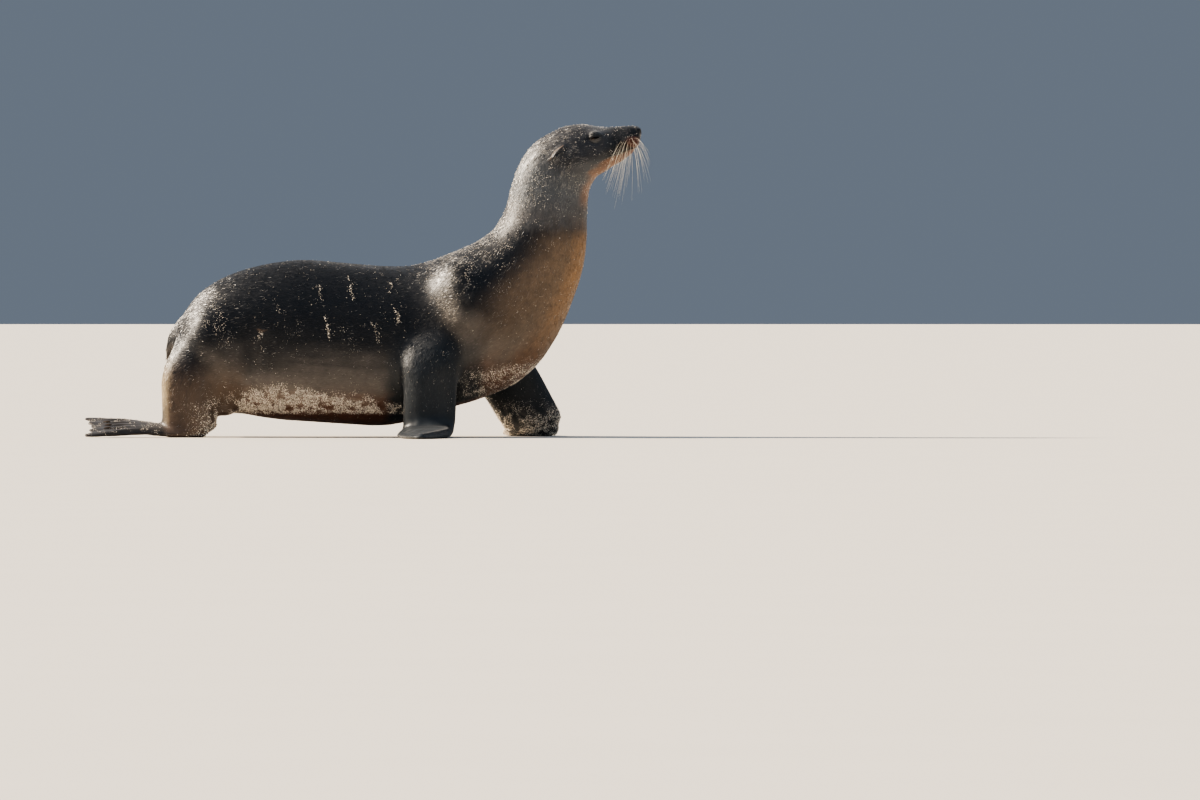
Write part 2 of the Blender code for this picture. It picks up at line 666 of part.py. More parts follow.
def limb_sleeve(side, joints, grow, name):
    """A tube round a limb from a little under its root to past the floor."""
    root, second, last = joints[0], joints[1], joints[-1]
    start = Joint(*(a + (b - a) * SLEEVE_START for a, b in zip(root, second)))
    below = last._replace(z=UNDER_FLOOR)
    room = SLEEVE_ROOM + grow
    sections = [joint_section(side, j, room, SLEEVE_SQUARE) for j in (start, *joints[1:], below)]
    domes = (SLEEVE_DOME + grow, SLEEVE_DOME + grow)
    return loft(name, sections, rings=5, points=12, domes=domes, dome_rings=2)


FLIPPER_BOX = Vector((0.30, 0.24, 0.16))     # larger than any hand or foot


def flipper_box(side, frame, at, grow, name):
    """A box round all of a hand or a foot that lies further than `at` from the wrist or ankle."""
    origin, way = frame(side)[:2]
    mesh = bmesh.new()
    bmesh.ops.create_cube(mesh, size=1.0)
    bmesh.ops.scale(mesh, vec=FLIPPER_BOX + Vector((2 * grow, 0, 2 * grow)), verts=mesh.verts)
    turn = Matrix.Rotation(math.atan2(way.y, way.x), 4, "Z")
    place = Matrix.Translation(origin + way * (at + FLIPPER_BOX.x / 2))
    bmesh.ops.transform(mesh, matrix=place @ turn, verts=mesh.verts)
    return new_object(name, mesh)


SHARPEST_MITRE = 0.35    # keeps the grown corner of a narrow angle from running far out


def prism(name, outline, half_width, grow):
    """A side outline given depth across the animal. `grow` moves its edges outwards."""
    corners = [Vector(c) for c in outline]
    turn = sum(a.x * b.y - b.x * a.y for a, b in zip(corners, corners[1:] + corners[:1]))
    moved = []
    for before, here, after in zip([corners[-1], *corners], corners, [*corners[1:], corners[0]]):
        one, two = (here - before).normalized(), (after - here).normalized()
        normal = Vector((one.y + two.y, -one.x - two.x)).normalized() * math.copysign(1, turn)
        half_turn = max(SHARPEST_MITRE, math.sqrt((1 + one.dot(two)) / 2))
        moved.append(here + normal * grow / half_turn)
    mesh = bmesh.new()
    left = [mesh.verts.new((c.x, half_width, c.y)) for c in moved]
    right = [mesh.verts.new((c.x, -half_width, c.y)) for c in moved]
    mesh.faces.new(left)
    mesh.faces.new(right[::-1])
    for i in range(len(left)):
        mesh.faces.new((left[i - 1], left[i], right[i], right[i - 1]))
    bmesh.ops.recalc_face_normals(mesh, faces=mesh.faces)
    return new_object(name, mesh)


def part_body(body):
    """Takes limbs and tail out of the body, and then saws what is left into head, neck and trunk."""
    pieces = {}
    for side, word in SIDE_NAMES.items():
        for limb, end, joints, frame, at in (
            ("foreleg", "fore_flipper", ARMS, hand_frame, HAND_CUT),
            ("hind_leg", "hind_flipper", LEGS, foot_frame, FOOT_CUT[side]),
        ):
            limb, end = f"{limb}_{word}", f"{end}_{word}"
            boxes = [flipper_box(side, frame, at, g, f"{end}_box_{g:.4f}") for g in (0.0, KERF)]
            pieces[end] = take_out(body, end, *boxes)
            sleeves = [limb_sleeve(side, joints[side], g, f"{limb}_sleeve_{g:.4f}") for g in (0.0, KERF)]
            pieces[limb] = take_out(body, limb, *sleeves)
    tail_cutters = [make_tail(TAIL_ROOM + g, rings=5, points=10) for g in (0.0, KERF)]
    pieces["tail"] = take_out(body, "tail", *tail_cutters)
    tidy(body)
    for name in ("head", "neck", "chest", "trunk"):
        x, z, lean = SAW_CUTS[name]
        along = (math.cos(math.radians(lean)), 0, math.sin(math.radians(lean)))
        pieces[name] = saw_off(body, name, (x, 0, z), along)
    body.name = body.data.name = "rump"
    pieces["rump"] = body
    jaws = [prism(f"jaw_{g:.4f}", JAW_OUTLINE, JAW_HALF_WIDTH, g) for g in (0.0, KERF)]
    pieces["lower_jaw"] = take_out(pieces["head"], "lower_jaw", *jaws)
    return pieces


# ---------------------------------------------------------------- eyes, ears and claws


def ball(name, centre, radius):
    mesh = bmesh.new()
    bmesh.ops.create_uvsphere(mesh, u_segments=12, v_segments=8, radius=radius)
    # The poles look outwards, where the opening of the lids is.
    bmesh.ops.rotate(mesh, cent=(0, 0, 0), matrix=Matrix.Rotation(math.pi / 2, 3, "X"), verts=mesh.verts)
    bmesh.ops.translate(mesh, vec=centre, verts=mesh.verts)
    return new_object(name, mesh)


SOCKET_ROOM = 1.3 * SEAT_GAP     # a little more than the gap, because the facets cut in


def seat_eye(head, side):
    """The eyeball in its socket, and the slit between the lids in front of it."""
    centre = Vector((EYE_CENTRE.x, side * EYE_CENTRE.y, EYE_CENTRE.z))
    eye = ball(f"eye_{SIDE_NAMES[side]}", centre, EYE_RADIUS)
    socket = ball(f"socket_{SIDE_NAMES[side]}", centre, EYE_RADIUS + SOCKET_ROOM)
    slit = ellipsoid(f"slit_{SIDE_NAMES[side]}", (0, 0, 0), EYE_OPENING, columns=14, rows=6)
    turn = Matrix.Rotation(math.radians(-EYE_SLANT), 4, "Y")
    place = Matrix.Translation(centre + Vector((0, side * (EYE_RADIUS + SLIT_OUT), 0)))
    slit.data.transform(place @ turn)
    for cutter in (socket, slit):
        boolean(head, cutter, "DIFFERENCE")
        hide_cutter(cutter)
    return eye


# Share of the ear's length, half its width and half its thickness: a small scroll, pointed at the end.
EAR = [(0.0, 0.0058, 0.0046), (0.25, 0.0064, 0.0042), (0.55, 0.0056, 0.0034), (0.82, 0.0038, 0.0025),
       (0.97, 0.0020, 0.0016)]


def make_ear(side, name, grow=0.0):
    root = Vector((EAR_ROOT.x, side * EAR_ROOT.y, EAR_ROOT.z))
    tip = Vector((EAR_TIP.x, side * EAR_TIP.y, EAR_TIP.z))
    way = (tip - root).normalized()
    across = way.cross(Vector((0, side, 0))).normalized()
    up = across.cross(way).normalized()
    sections = [limb_section(root.lerp(tip, s), across, up, w + grow, t + grow) for s, w, t in EAR]
    return loft(name, sections, rings=6, points=9, domes=(0.003 + grow, 0.002 + grow), dome_rings=2)


# Share of the claw's length, half its width and half its thickness.
CLAW = [(0.0, 0.0030, 0.0026), (0.5, 0.0026, 0.0021), (0.92, 0.0014, 0.0012)]
CLAW_ROOT_HEIGHT, CLAW_AIM_HEIGHT = 0.0125, 0.0135   # of its root, and of the point at the toe's end
CLAW_BOW = 0.001         # how far it curves up towards its tip


def make_claw(side, toe, name, grow=0.0):
    """A nail that lies along the toe, its root bedded in the toe's back."""
    frame = foot_frame(side)
    start = toe_point(frame, toe, CLAW_SHARE, CLAW_ROOT_HEIGHT)
    way = (toe_point(frame, toe, 1.0, CLAW_AIM_HEIGHT) - start).normalized()
    up = frame[3]
    across = way.cross(up).normalized()
    sections = [
        limb_section(start + (way * CLAW_LENGTH + up * CLAW_BOW) * s, across, up, w + grow, t + grow)
        for s, w, t in CLAW
    ]
    return loft(name, sections, rings=3, points=6, domes=(0.0015 + grow, 0.0010 + grow), dome_rings=2)


def bed(flesh, thing, pocket):
    """Leaves a hair of air between a separate thing and the flesh that it is bedded in."""
    boolean(flesh, pocket, "DIFFERENCE")
    hide_cutter(pocket)
    tidy(flesh)
    return thing


def add_features(pieces):
    for side, word in SIDE_NAMES.items():
        pieces[f"eye_{word}"] = seat_eye(pieces["head"], side)
        name = f"ear_{word}"
        pieces[name] = bed(pieces["head"], make_ear(side, name), make_ear(side, f"{name}_pocket", SEAT_GAP))
        for toe in CLAWED_TOES:
            name = f"claw_{word}_{toe}"
            pocket = make_claw(side, toe, f"{name}_pocket", SEAT_GAP)
            pieces[name] = bed(pieces[f"hind_flipper_{word}"], make_claw(side, toe, name), pocket)


# ---------------------------------------------------------------- main

# What each piece's name starts with, and its colour and roughness.
FINISHES = {
    "head": (COAT_DARK, 0.6), "lower_jaw": (COAT_BROWN, 0.6), "neck": (COAT_DARK, 0.6),
    "chest": (COAT_BROWN, 0.6), "trunk": (COAT_DARK, 0.6), "rump": (COAT_DARK, 0.6),
    "tail": (COAT_BROWN, 0.6), "ear": (COAT_BROWN, 0.6), "foreleg": (FLIPPER_BLACK, 0.5),
    "fore_flipper": (FLIPPER_BLACK, 0.5), "hind_leg": (COAT_BROWN, 0.6),
    "hind_flipper": (FLIPPER_BLACK, 0.5), "claw": (CLAW_HORN, 0.45), "eye": (EYE_BLACK, 0.1),
}


def clear_scene():
    for obj in list(bpy.data.objects):
        bpy.data.objects.remove(obj)


def make_collection(name, hidden):
    made = bpy.data.collections.new(name)
    made.hide_render = hidden
    bpy.context.scene.collection.children.link(made)
    return made


def centre(pieces):
    """Slides all pieces together, until their bounding box stands over the origin."""
    corners = [vertex.co for piece in pieces.values() for vertex in piece.data.vertices]
    middle = [(min(c[axis] for c in corners) + max(c[axis] for c in corners)) / 2 for axis in (0, 1)]
    slide = Matrix.Translation((-middle[0], -middle[1], 0))
    for piece in pieces.values():
        piece.data.transform(slide)


def finish(pieces):
    """Names the pieces, gives each its material and hangs them all on one empty on the floor."""
    collection = make_collection("sea_lion", hidden=False)
    stance = bpy.data.objects.new("stance", None)
    collection.objects.link(stance)
    for name, piece in pieces.items():
        tidy(piece)
        piece.name = piece.data.name = name
        colour, roughness = next(FINISHES[start] for start in FINISHES if name.startswith(start))
        piece.data.materials.clear()
        piece.data.materials.append(material(name, colour, roughness))
        piece.data.shade_smooth()
        piece.data.set_sharp_from_angle(angle=SHARP_ANGLE)
        for holder in list(piece.users_collection):
            holder.objects.unlink(piece)
        collection.objects.link(piece)
        piece.parent = stance


def main():
    clear_scene()
    make_collection("cutters", hidden=True)
    body = fuse_body()
    facet(body)
    cut_floor(body)
    pieces = part_body(body)
    add_features(pieces)
    centre(pieces)
    finish(pieces)


if __name__ == "__main__":
    main()
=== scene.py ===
"""The looks of a life-size sea lion that walks with its head raised, in a wet coat with sand on it.

One skin takes the place of the solids of flesh, and a coat of short tufts, grains of sand, whiskers,
eyes and claws go on it. The animal faces +X, its left side is +Y and it stands on z = 0.
"""

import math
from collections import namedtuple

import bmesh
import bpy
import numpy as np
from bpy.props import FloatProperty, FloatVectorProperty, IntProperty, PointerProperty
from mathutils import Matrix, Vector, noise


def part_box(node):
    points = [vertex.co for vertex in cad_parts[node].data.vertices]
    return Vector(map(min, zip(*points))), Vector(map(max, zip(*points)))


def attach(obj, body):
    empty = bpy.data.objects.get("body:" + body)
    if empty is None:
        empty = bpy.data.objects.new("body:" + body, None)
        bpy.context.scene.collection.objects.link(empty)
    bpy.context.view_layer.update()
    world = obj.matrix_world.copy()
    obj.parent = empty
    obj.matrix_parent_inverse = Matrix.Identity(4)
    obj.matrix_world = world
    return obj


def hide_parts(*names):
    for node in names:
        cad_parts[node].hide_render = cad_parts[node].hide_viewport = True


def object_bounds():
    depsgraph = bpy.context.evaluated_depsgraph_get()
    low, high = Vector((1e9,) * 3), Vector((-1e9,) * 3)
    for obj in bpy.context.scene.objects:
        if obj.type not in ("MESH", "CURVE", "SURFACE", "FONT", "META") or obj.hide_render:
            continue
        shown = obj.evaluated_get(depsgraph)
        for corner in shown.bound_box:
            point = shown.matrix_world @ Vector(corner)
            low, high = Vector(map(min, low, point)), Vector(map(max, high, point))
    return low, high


bl_info = {
    "name": "Sea Lion",
    "version": (1, 0, 0),
    "blender": (4, 5, 0),
    "location": "3D View > Sidebar > Sea Lion",
    "description": "Dresses the solids of a sea lion in skin, wet coat, sand and whiskers",
    "category": "Object",
}

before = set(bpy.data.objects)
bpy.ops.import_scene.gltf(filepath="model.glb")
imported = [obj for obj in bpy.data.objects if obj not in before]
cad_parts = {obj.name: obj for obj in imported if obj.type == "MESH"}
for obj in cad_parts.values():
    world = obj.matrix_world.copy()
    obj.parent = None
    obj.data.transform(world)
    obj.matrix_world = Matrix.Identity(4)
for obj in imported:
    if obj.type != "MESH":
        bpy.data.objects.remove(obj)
CAD_BOX = [list(corner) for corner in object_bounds()]

RIGHT, LEFT = -1, 1
SIDES = {RIGHT: "right", LEFT: "left"}
EYES = ["eye_right", "eye_left"]
CLAWS = [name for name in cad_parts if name.startswith("claw")]
FLESH = [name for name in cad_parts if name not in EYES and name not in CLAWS]
SKIN = "skin"
BAKE_MAP = "OFBake"

# ---------------------------------------------------------------- small helpers


def linear(hex_colour):
    """An sRGB colour such as #8a6848 as three linear values."""
    values = [int(hex_colour[i:i + 2], 16) / 255 for i in (1, 3, 5)]
    return [v / 12.92 if v <= 0.04045 else ((v + 0.055) / 1.055) ** 2.4 for v in values]


def box_of(node):
    """The lowest and the highest corner of a node's box."""
    return [np.array(corner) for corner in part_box(node)]


def place(node, x, y, z):
    """The point at these shares of the length, width and height of a node's box."""
    low, high = box_of(node)
    return low + (high - low) * np.array([x, y, z])


def x_at(node, share):
    """The x at a share of the length of a node's box, from its rear end."""
    return place(node, share, 0, 0)[0]


def z_at(node, share):
    """The z at a share of the height of a node's box."""
    return place(node, 0, 0, share)[2]


def slice_centre(node, axis, low_share, high_share):
    """The middle of what of a node lies between two shares of its extent along an axis."""
    points = np.array([v.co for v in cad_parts[node].data.vertices])
    low, high = points[:, axis].min(), points[:, axis].max()
    share = (points[:, axis] - low) / (high - low)
    part = points[(share >= low_share) & (share <= high_share)]
    return (part.min(axis=0) + part.max(axis=0)) / 2


def eased(value, low, high):
    """0 at or under low, 1 at or over high, and a soft step between them."""
    t = np.clip((value - low) / (high - low), 0, 1)
    return t * t * (3 - 2 * t)


def inside(points, centre, radii):
    """1 in the middle of a soft ellipsoid and 0 at its surface and outside."""
    away = np.linalg.norm((points - np.array(centre)) / np.array(radii), axis=1)
    return 1 - eased(away, 0.0, 1.0)


def path_distance(points, path, flat=False):
    """How far each point is from a path of straight runs. `flat` measures in side view, without y."""
    points, path = np.asarray(points), np.asarray(path, float)
    if flat:
        points, path = points[:, [0, 2]], path[:, [0, 2]]
    nearest = np.full(len(points), np.inf)
    for start, end in zip(path[:-1], path[1:]):
        run = end - start
        share = np.clip((points - start) @ run / (run @ run), 0, 1)
        away = np.linalg.norm(points - (start + share[:, None] * run), axis=1)
        nearest = np.minimum(nearest, away)
    return nearest


def smooth_path(corners, steps=12):
    """Points on a smooth curve through the corners."""
    corners = np.asarray(corners, float)
    ends = np.vstack([2 * corners[0] - corners[1], corners, 2 * corners[-1] - corners[-2]])
    found = []
    for a, b, c, d in zip(ends, ends[1:], ends[2:], ends[3:]):
        for t in np.arange(steps) / steps:
            found.append(0.5 * (2 * b + (c - a) * t + (2 * a - 5 * b + 4 * c - d) * t**2
                                + (3 * b - a - 3 * c + d) * t**3))
    return np.array([*found, corners[-1]])


def unit(vectors):
    """The vectors at a length of 1."""
    return vectors / np.maximum(np.linalg.norm(vectors, axis=-1, keepdims=True), 1e-12)


def read(mesh, what="vertices", field="co", width=3):
    """A field of a mesh's parts as rows of numbers."""
    values = np.empty(len(getattr(mesh, what)) * width, np.float32)
    getattr(mesh, what).foreach_get(field, values)
    return values.reshape(-1, width).astype(float)


def write_points(mesh, points):
    """Moves a mesh's vertices to these points."""
    mesh.vertices.foreach_set("co", np.asarray(points, np.float32).ravel())
    mesh.update()


def normals_of(mesh):
    """The surface's direction at each vertex."""
    return read(mesh, "vertex_normals", "vector")


def store(mesh, name, values):
    """Keeps a number, vector or colour for each vertex, for the materials and for what grows on the mesh."""
    values = np.asarray(values, np.float32)
    kind, field = ("FLOAT", "value") if values.ndim == 1 else ("FLOAT_VECTOR", "vector")
    attribute = mesh.attributes.get(name) or mesh.attributes.new(name, kind, "POINT")
    attribute.data.foreach_set(field, values.ravel())


def kept(mesh, name):
    """What `store` has kept on a mesh."""
    attribute = mesh.attributes[name]
    width = 1 if attribute.data_type == "FLOAT" else 3
    values = np.empty(len(attribute.data) * width, np.float32)
    attribute.data.foreach_get("value" if width == 1 else "vector", values)
    return values.astype(float) if width == 1 else values.reshape(-1, 3).astype(float)


def alone(obj):
    """Selects one object and nothing else, for the operators that follow."""
    bpy.ops.object.select_all(action="DESELECT")
    obj.select_set(True)
    bpy.context.view_layer.objects.active = obj


def apply_modifier(obj, kind, **settings):
    """Adds a modifier with these settings and applies it."""
    alone(obj)
    bpy.ops.object.modifier_add(type=kind)
    modifier = obj.modifiers[-1]
    for name, value in settings.items():
        setattr(modifier, name, value)
    bpy.ops.object.modifier_apply(modifier=modifier.name)


def new_mesh_object(name, points, faces, smooth=True):
    """An object from arrays of points and of triangles or quads."""
    mesh = bpy.data.meshes.new(name)
    mesh.vertices.add(len(points))
    mesh.vertices.foreach_set("co", np.asarray(points, np.float32).ravel())
    sides = faces.shape[1]
    mesh.loops.add(faces.size)
    mesh.loops.foreach_set("vertex_index", faces.astype(np.int32).ravel())
    mesh.polygons.add(len(faces))
    mesh.polygons.foreach_set("loop_start", np.arange(0, faces.size, sides, dtype=np.int32))
    mesh.polygons.foreach_set("use_smooth", np.full(len(faces), smooth))
    mesh.update(calc_edges=True)
    made = bpy.data.objects.new(name, mesh)
    bpy.context.scene.collection.objects.link(made)
    return made


# ---------------------------------------------------------------- where things are on the animal

EYE = {side: place(f"eye_{word}", 0.5, 0.5, 0.5) for side, word in SIDES.items()}
EYE_RADIUS = (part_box("eye_left")[1].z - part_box("eye_left")[0].z) / 2
NOSE_TIP = np.array([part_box("head")[1].x, 0.0, EYE[LEFT][2] + 0.0165])


def face(side, forward, aside, up):
    """A point of the head: so far ahead of the eye, from the middle plane, and above the eye."""
    return np.array([EYE[side][0] + forward, side * aside, EYE[side][2] + up])


def standing_point(node):
    """The point of the floor under the lowest eighth of a limb's solid."""
    found = slice_centre(node, 2, 0.0, 0.12)
    found[2] = 0.0
    return found


def ankle(side):
    """Where a hind leg stands."""
    return standing_point(f"hind_leg_{SIDES[side]}")


def wrist(side):
    """Where a foreleg stands."""
    return standing_point(f"foreleg_{SIDES[side]}")


# How far the hands are swept back, in degrees, how long they are from the wrist, and half how wide.
HAND_SWEEP = {RIGHT: 12, LEFT: 10}
HAND_LENGTH = 0.235
HAND_CHORD = 0.063
# The five fingers from the front to the back: where each starts across the wrist as a share of the half
# chord, and how far along and across the flipper its tip lies.
FINGERS = [(0.78, 0.95, 0.52), (0.40, 0.80, 0.02), (0.05, 0.66, -0.40), (-0.28, 0.50, -0.67),
           (-0.60, 0.33, -0.88)]


def hand_point(side, along, across):
    """A point of a hand: so far from the wrist to the longest finger's tip, and towards the front edge."""
    sweep = math.radians(HAND_SWEEP[side])
    fingers = np.array([-math.sin(sweep), side * math.cos(sweep), 0])
    leading = np.array([math.cos(sweep), side * math.sin(sweep), 0])
    return wrist(side) + fingers * HAND_LENGTH * along + leading * HAND_CHORD * across


def toe_lines(side):
    """For each toe from the inner to the outer one, a line from the ankle past its claw to its tip."""
    claws = [place(f"claw_{SIDES[side]}_{toe}", 0.5, 0.5, 0.5) for toe in (1, 2, 3)]
    step = (claws[2] - claws[0]) / 2
    middles = [claws[0] - step, *claws, claws[2] + step]
    root = ankle(side)
    lines = []
    for middle in middles:
        way = middle - root
        lines.append([root + way * 0.35, middle, root + way * 1.30])
    return lines


Guide = namedtuple("Guide", "path reach")


def guides():
    """The lines that the coat follows: from the nose back, and down each limb. Each has its reach."""
    back = [
        NOSE_TIP,
        place("head", 0.62, 0.5, 0.62),
        place("head", 0.38, 0.5, 0.42),
        place("neck", 0.50, 0.5, 0.52),
        place("chest", 0.62, 0.5, 0.60),
        place("chest", 0.20, 0.5, 0.42),
        place("trunk", 0.45, 0.5, 0.50),
        place("rump", 0.62, 0.5, 0.48),
        place("rump", 0.16, 0.5, 0.50),
        place("tail", 0.0, 0.5, 0.0),
    ]
    found = [Guide(smooth_path(back), 0.125)]
    for side, word in SIDES.items():
        arm = [slice_centre(f"foreleg_{word}", 2, low, low + 0.2) for low in (0.8, 0.55, 0.3, 0.08)]
        arm += [hand_point(side, along, 0.0) for along in (0.15, 0.5, 1.0)]
        found.append(Guide(smooth_path(arm), 0.050))
        leg = [slice_centre(f"hind_leg_{word}", 2, low, low + 0.2) for low in (0.7, 0.45, 0.25)]
        leg += [ankle(side) + [0, 0, 0.02], *toe_lines(side)[2]]
        found.append(Guide(smooth_path(leg), 0.046))
    return found


def follow_guides(points):
    """For each point the way the coat lies, how far along its guide it is, and the angle round it."""
    lie = np.zeros_like(points)
    total = np.zeros(len(points))
    best, along, round_it = np.full(len(points), -1.0), np.zeros(len(points)), np.zeros(len(points))
    for guide in guides():
        steps = np.gradient(guide.path, axis=0)
        length = np.concatenate([[0], np.cumsum(np.linalg.norm(np.diff(guide.path, axis=0), axis=1))])
        squared = ((points[:, None, :] - guide.path[None]) ** 2).sum(axis=2)
        nearest = squared.argmin(axis=1)
        away = np.sqrt(squared[np.arange(len(points)), nearest])
        pull = 1 / (away / guide.reach + 0.15) ** 5
        lie += pull[:, None] * unit(steps)[nearest]
        total += pull
        closer = pull > best
        best[closer] = pull[closer]
        offset = points - guide.path[nearest]
        along[closer] = length[nearest][closer]
        round_it[closer] = (np.arctan2(offset[:, 2], offset[:, 1]) * guide.reach)[closer]
    return unit(lie / total[:, None]), along, round_it


# ---------------------------------------------------------------- settings


def metres(name, description, default, least=0.0):
    """A length that a user can change."""
    return FloatProperty(name=name, description=description, default=default, min=least, unit="LENGTH")


def fraction(name, description, default, least=0.0):
    """A share, from `least` to 1, that a user can change."""
    return FloatProperty(name=name, description=description, default=default, min=least, max=1.0,
                         subtype="FACTOR")


def amount(name, description, default, least=0.0):
    """A number that a user can change."""
    return FloatProperty(name=name, description=description, default=default, min=least)


def colour(name, description, hex_colour):
    """A colour that a user can change."""
    return FloatVectorProperty(name=name, description=description, subtype="COLOR", min=0.0, max=1.0,
                               default=linear(hex_colour))


class SkinSettings(bpy.types.PropertyGroup):
    cell: metres("Cell", "Grid cell that grows the flesh solids into one skin", 0.0025, 0.001)
    coat_depth: metres("Coat depth", "How far the skin lies under the solids", 0.0011)
    kept_share: fraction("Kept faces", "Share of the grown skin's faces that is kept", 0.20, 0.05)


class CoatSettings(bpy.types.PropertyGroup):
    density: amount("Density", "Tufts on a square metre of the trunk", 160000, 1000)
    length: metres("Length", "Length of a tuft on the trunk", 0.0095, 0.002)
    width: metres("Width", "Width of a tuft at its root on the trunk", 0.00085, 0.0002)
    back: colour("Back", "Wet fur of back and upper flank", "#0c0e14")
    flank: colour("Flank", "Lower flank and thigh", "#67605a")
    belly: colour("Belly", "Under side of the trunk", "#6a4430")
    chest: colour("Chest", "Side of the chest before the shoulder", "#806b55")
    # Paler front of the chest: partly its own colour, partly painted bounce light where it faces forward.
    chest_front_and_bounce_light: colour("Chest edge", "Front of the chest", "#a17c56")
    neck: colour("Neck", "Neck and forehead", "#5f6162")
    head: colour("Head", "Top and side of the head", "#403f40")
    muzzle: colour("Muzzle", "Top and side of the snout", "#1e1f22")
    pads: colour("Whisker pads", "Reddish hair of the upper lip", "#673f2f")
    throat: colour("Throat", "Throat and lower jaw", "#8a6850")
    # A paler tan rear of the shank, partly a painted highlight of the sun from behind.
    shank_rear_and_highlight: colour("Shank", "Rear of the lower hind leg", "#a8977b")
    web: colour("Web", "Sparsely haired hide of the hind flippers", "#36302c")
    foot: colour("Hind foot", "Hind flipper and front of the lower hind leg", "#5c4b3e")
    flipper: colour("Flipper", "Bare hide of the fore flippers", "#2c3135")
    dust: colour("Dust", "Fine sand between the grains", "#cdbfae")
    # Pale tips: sand on the tufts, partly painted glints of sun, and the painted highlight on the shoulder
    # blades.
    pale_tips_and_glints: colour("Pale tips", "Tips of tufts that catch sand and light", "#b9b1a6")
    ear: colour("Ear", "Thinly haired rim of the ears", "#6f5e51")
    # Also painted over the upper lids as shade of the brow over the eye.
    nose: colour("Nose", "Bare nose pad", "#121114")
    # Also painted round the rear of the nose pad as a highlight on its rim.
    lids: colour("Lids", "Bare edge of the lids", "#6b625a")


class EyeSettings(bpy.types.PropertyGroup):
    iris: colour("Iris", "Dark brown iris", "#24170f")
    bulge: metres("Bulge", "How far the cornea stands off the eyeball", 0.0008)


class ClawSettings(bpy.types.PropertyGroup):
    horn: colour("Horn", "Worn brown horn of the claws", "#5b4a39")
    taper: fraction("Taper", "How much narrower a claw is at its tip", 0.5)
    bend: metres("Bend", "How far the tip of a claw bends down", 0.0007)


class WhiskerSettings(bpy.types.PropertyGroup):
    rows: IntProperty(name="Rows", description="Rows of whiskers on each pad", default=5, min=1)
    columns: IntProperty(name="Columns", description="Whiskers in a row", default=7, min=1)
    longest: metres("Longest", "Length of the longest whisker", 0.118, 0.01)
    root: colour("Root", "Horn of the whiskers at the lip", "#6b4a33")
    horn: colour("Horn", "Horn of the whiskers further out", "#f0e6cf")


class SandSettings(bpy.types.PropertyGroup):
    density: amount("Density", "Grains on a square metre where the sand lies thickest", 440000, 1000)
    size: metres("Size", "Usual width of a grain", 0.0020, 0.0002)
    colour: colour("Sand", "Dry coral sand", "#ece2d3")


class StageSettings(bpy.types.PropertyGroup):
    floor: colour("Floor", "Plain pale floor", "#d8cfc2")
    sun: amount("Sun", "Strength of the sun lamp", 7.8)
    sky: amount("Sky", "Strength of the sky", 0.85)


# ---------------------------------------------------------------- the skin


def grow_flesh(cell):
    """One closed surface over all the solids of flesh, with the eyeballs filling their sockets."""
    copies = []
    for name in FLESH + EYES:
        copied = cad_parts[name].copy()
        copied.data = copied.data.copy()
        copied.parent = None
        for key in list(copied.keys()):
            del copied[key]
        bpy.context.scene.collection.objects.link(copied)
        copies.append(copied)
    bpy.ops.object.select_all(action="DESELECT")
    for copied in copies:
        copied.select_set(True)
    bpy.context.view_layer.objects.active = copies[0]
    bpy.ops.object.join()
    skin = bpy.context.view_layer.objects.active
    skin.name = skin.data.name = SKIN
    bpy.ops.object.mode_set(mode="EDIT")
    bpy.ops.mesh.select_all(action="SELECT")
    bpy.ops.mesh.remove_doubles(threshold=1e-5)
    bpy.ops.object.mode_set(mode="OBJECT")
    skin.data.materials.clear()
    apply_modifier(skin, "REMESH", mode="VOXEL", voxel_size=cell, use_smooth_shade=True)
    return skin


def weigh(obj, name, weights):
    """A vertex group whose weights are rounded to tenths."""
    group = obj.vertex_groups.new(name=name)
    tenths = np.round(np.clip(weights, 0, 1) * 10).astype(int)
    for level in range(1, 11):
        members = np.flatnonzero(tenths == level)
        if len(members):
            group.add(members.tolist(), level / 10, "REPLACE")


def detail_at(points):
    """1 where the skin needs a fine mesh, on head, hands, feet and tail, and 0 on neck and trunk."""
    fine = inside(points, place("head", 0.70, 0.5, 0.68), (0.16, 0.16, 0.13))
    for side in SIDES:
        fine = np.maximum(fine, inside(points, hand_point(side, 0.55, 0.0), (0.19, 0.19, 0.10)))
        fine = np.maximum(fine, inside(points, toe_lines(side)[2][1], (0.17, 0.17, 0.10)))
    fine = np.maximum(fine, inside(points, place("tail", 0.3, 0.5, 0.4), (0.06, 0.06, 0.09)))
    return eased(fine, 0.05, 0.30)


def at(node, side, x, out, z):
    """A point at shares of a node's box, where `out` runs from the middle plane to the outer side."""
    return place(node, x, 0.5 + side * out / 2, z)


def front_edge(node, low_share, high_share):
    """The foremost point of what of a node lies between two shares of its height."""
    points = np.array([v.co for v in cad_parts[node].data.vertices])
    low, high = points[:, 2].min(), points[:, 2].max()
    share = (points[:, 2] - low) / (high - low)
    part = points[(share >= low_share) & (share <= high_share)]
    return part[part[:, 0].argmax()]


Form = namedtuple("Form", "centre radii height")


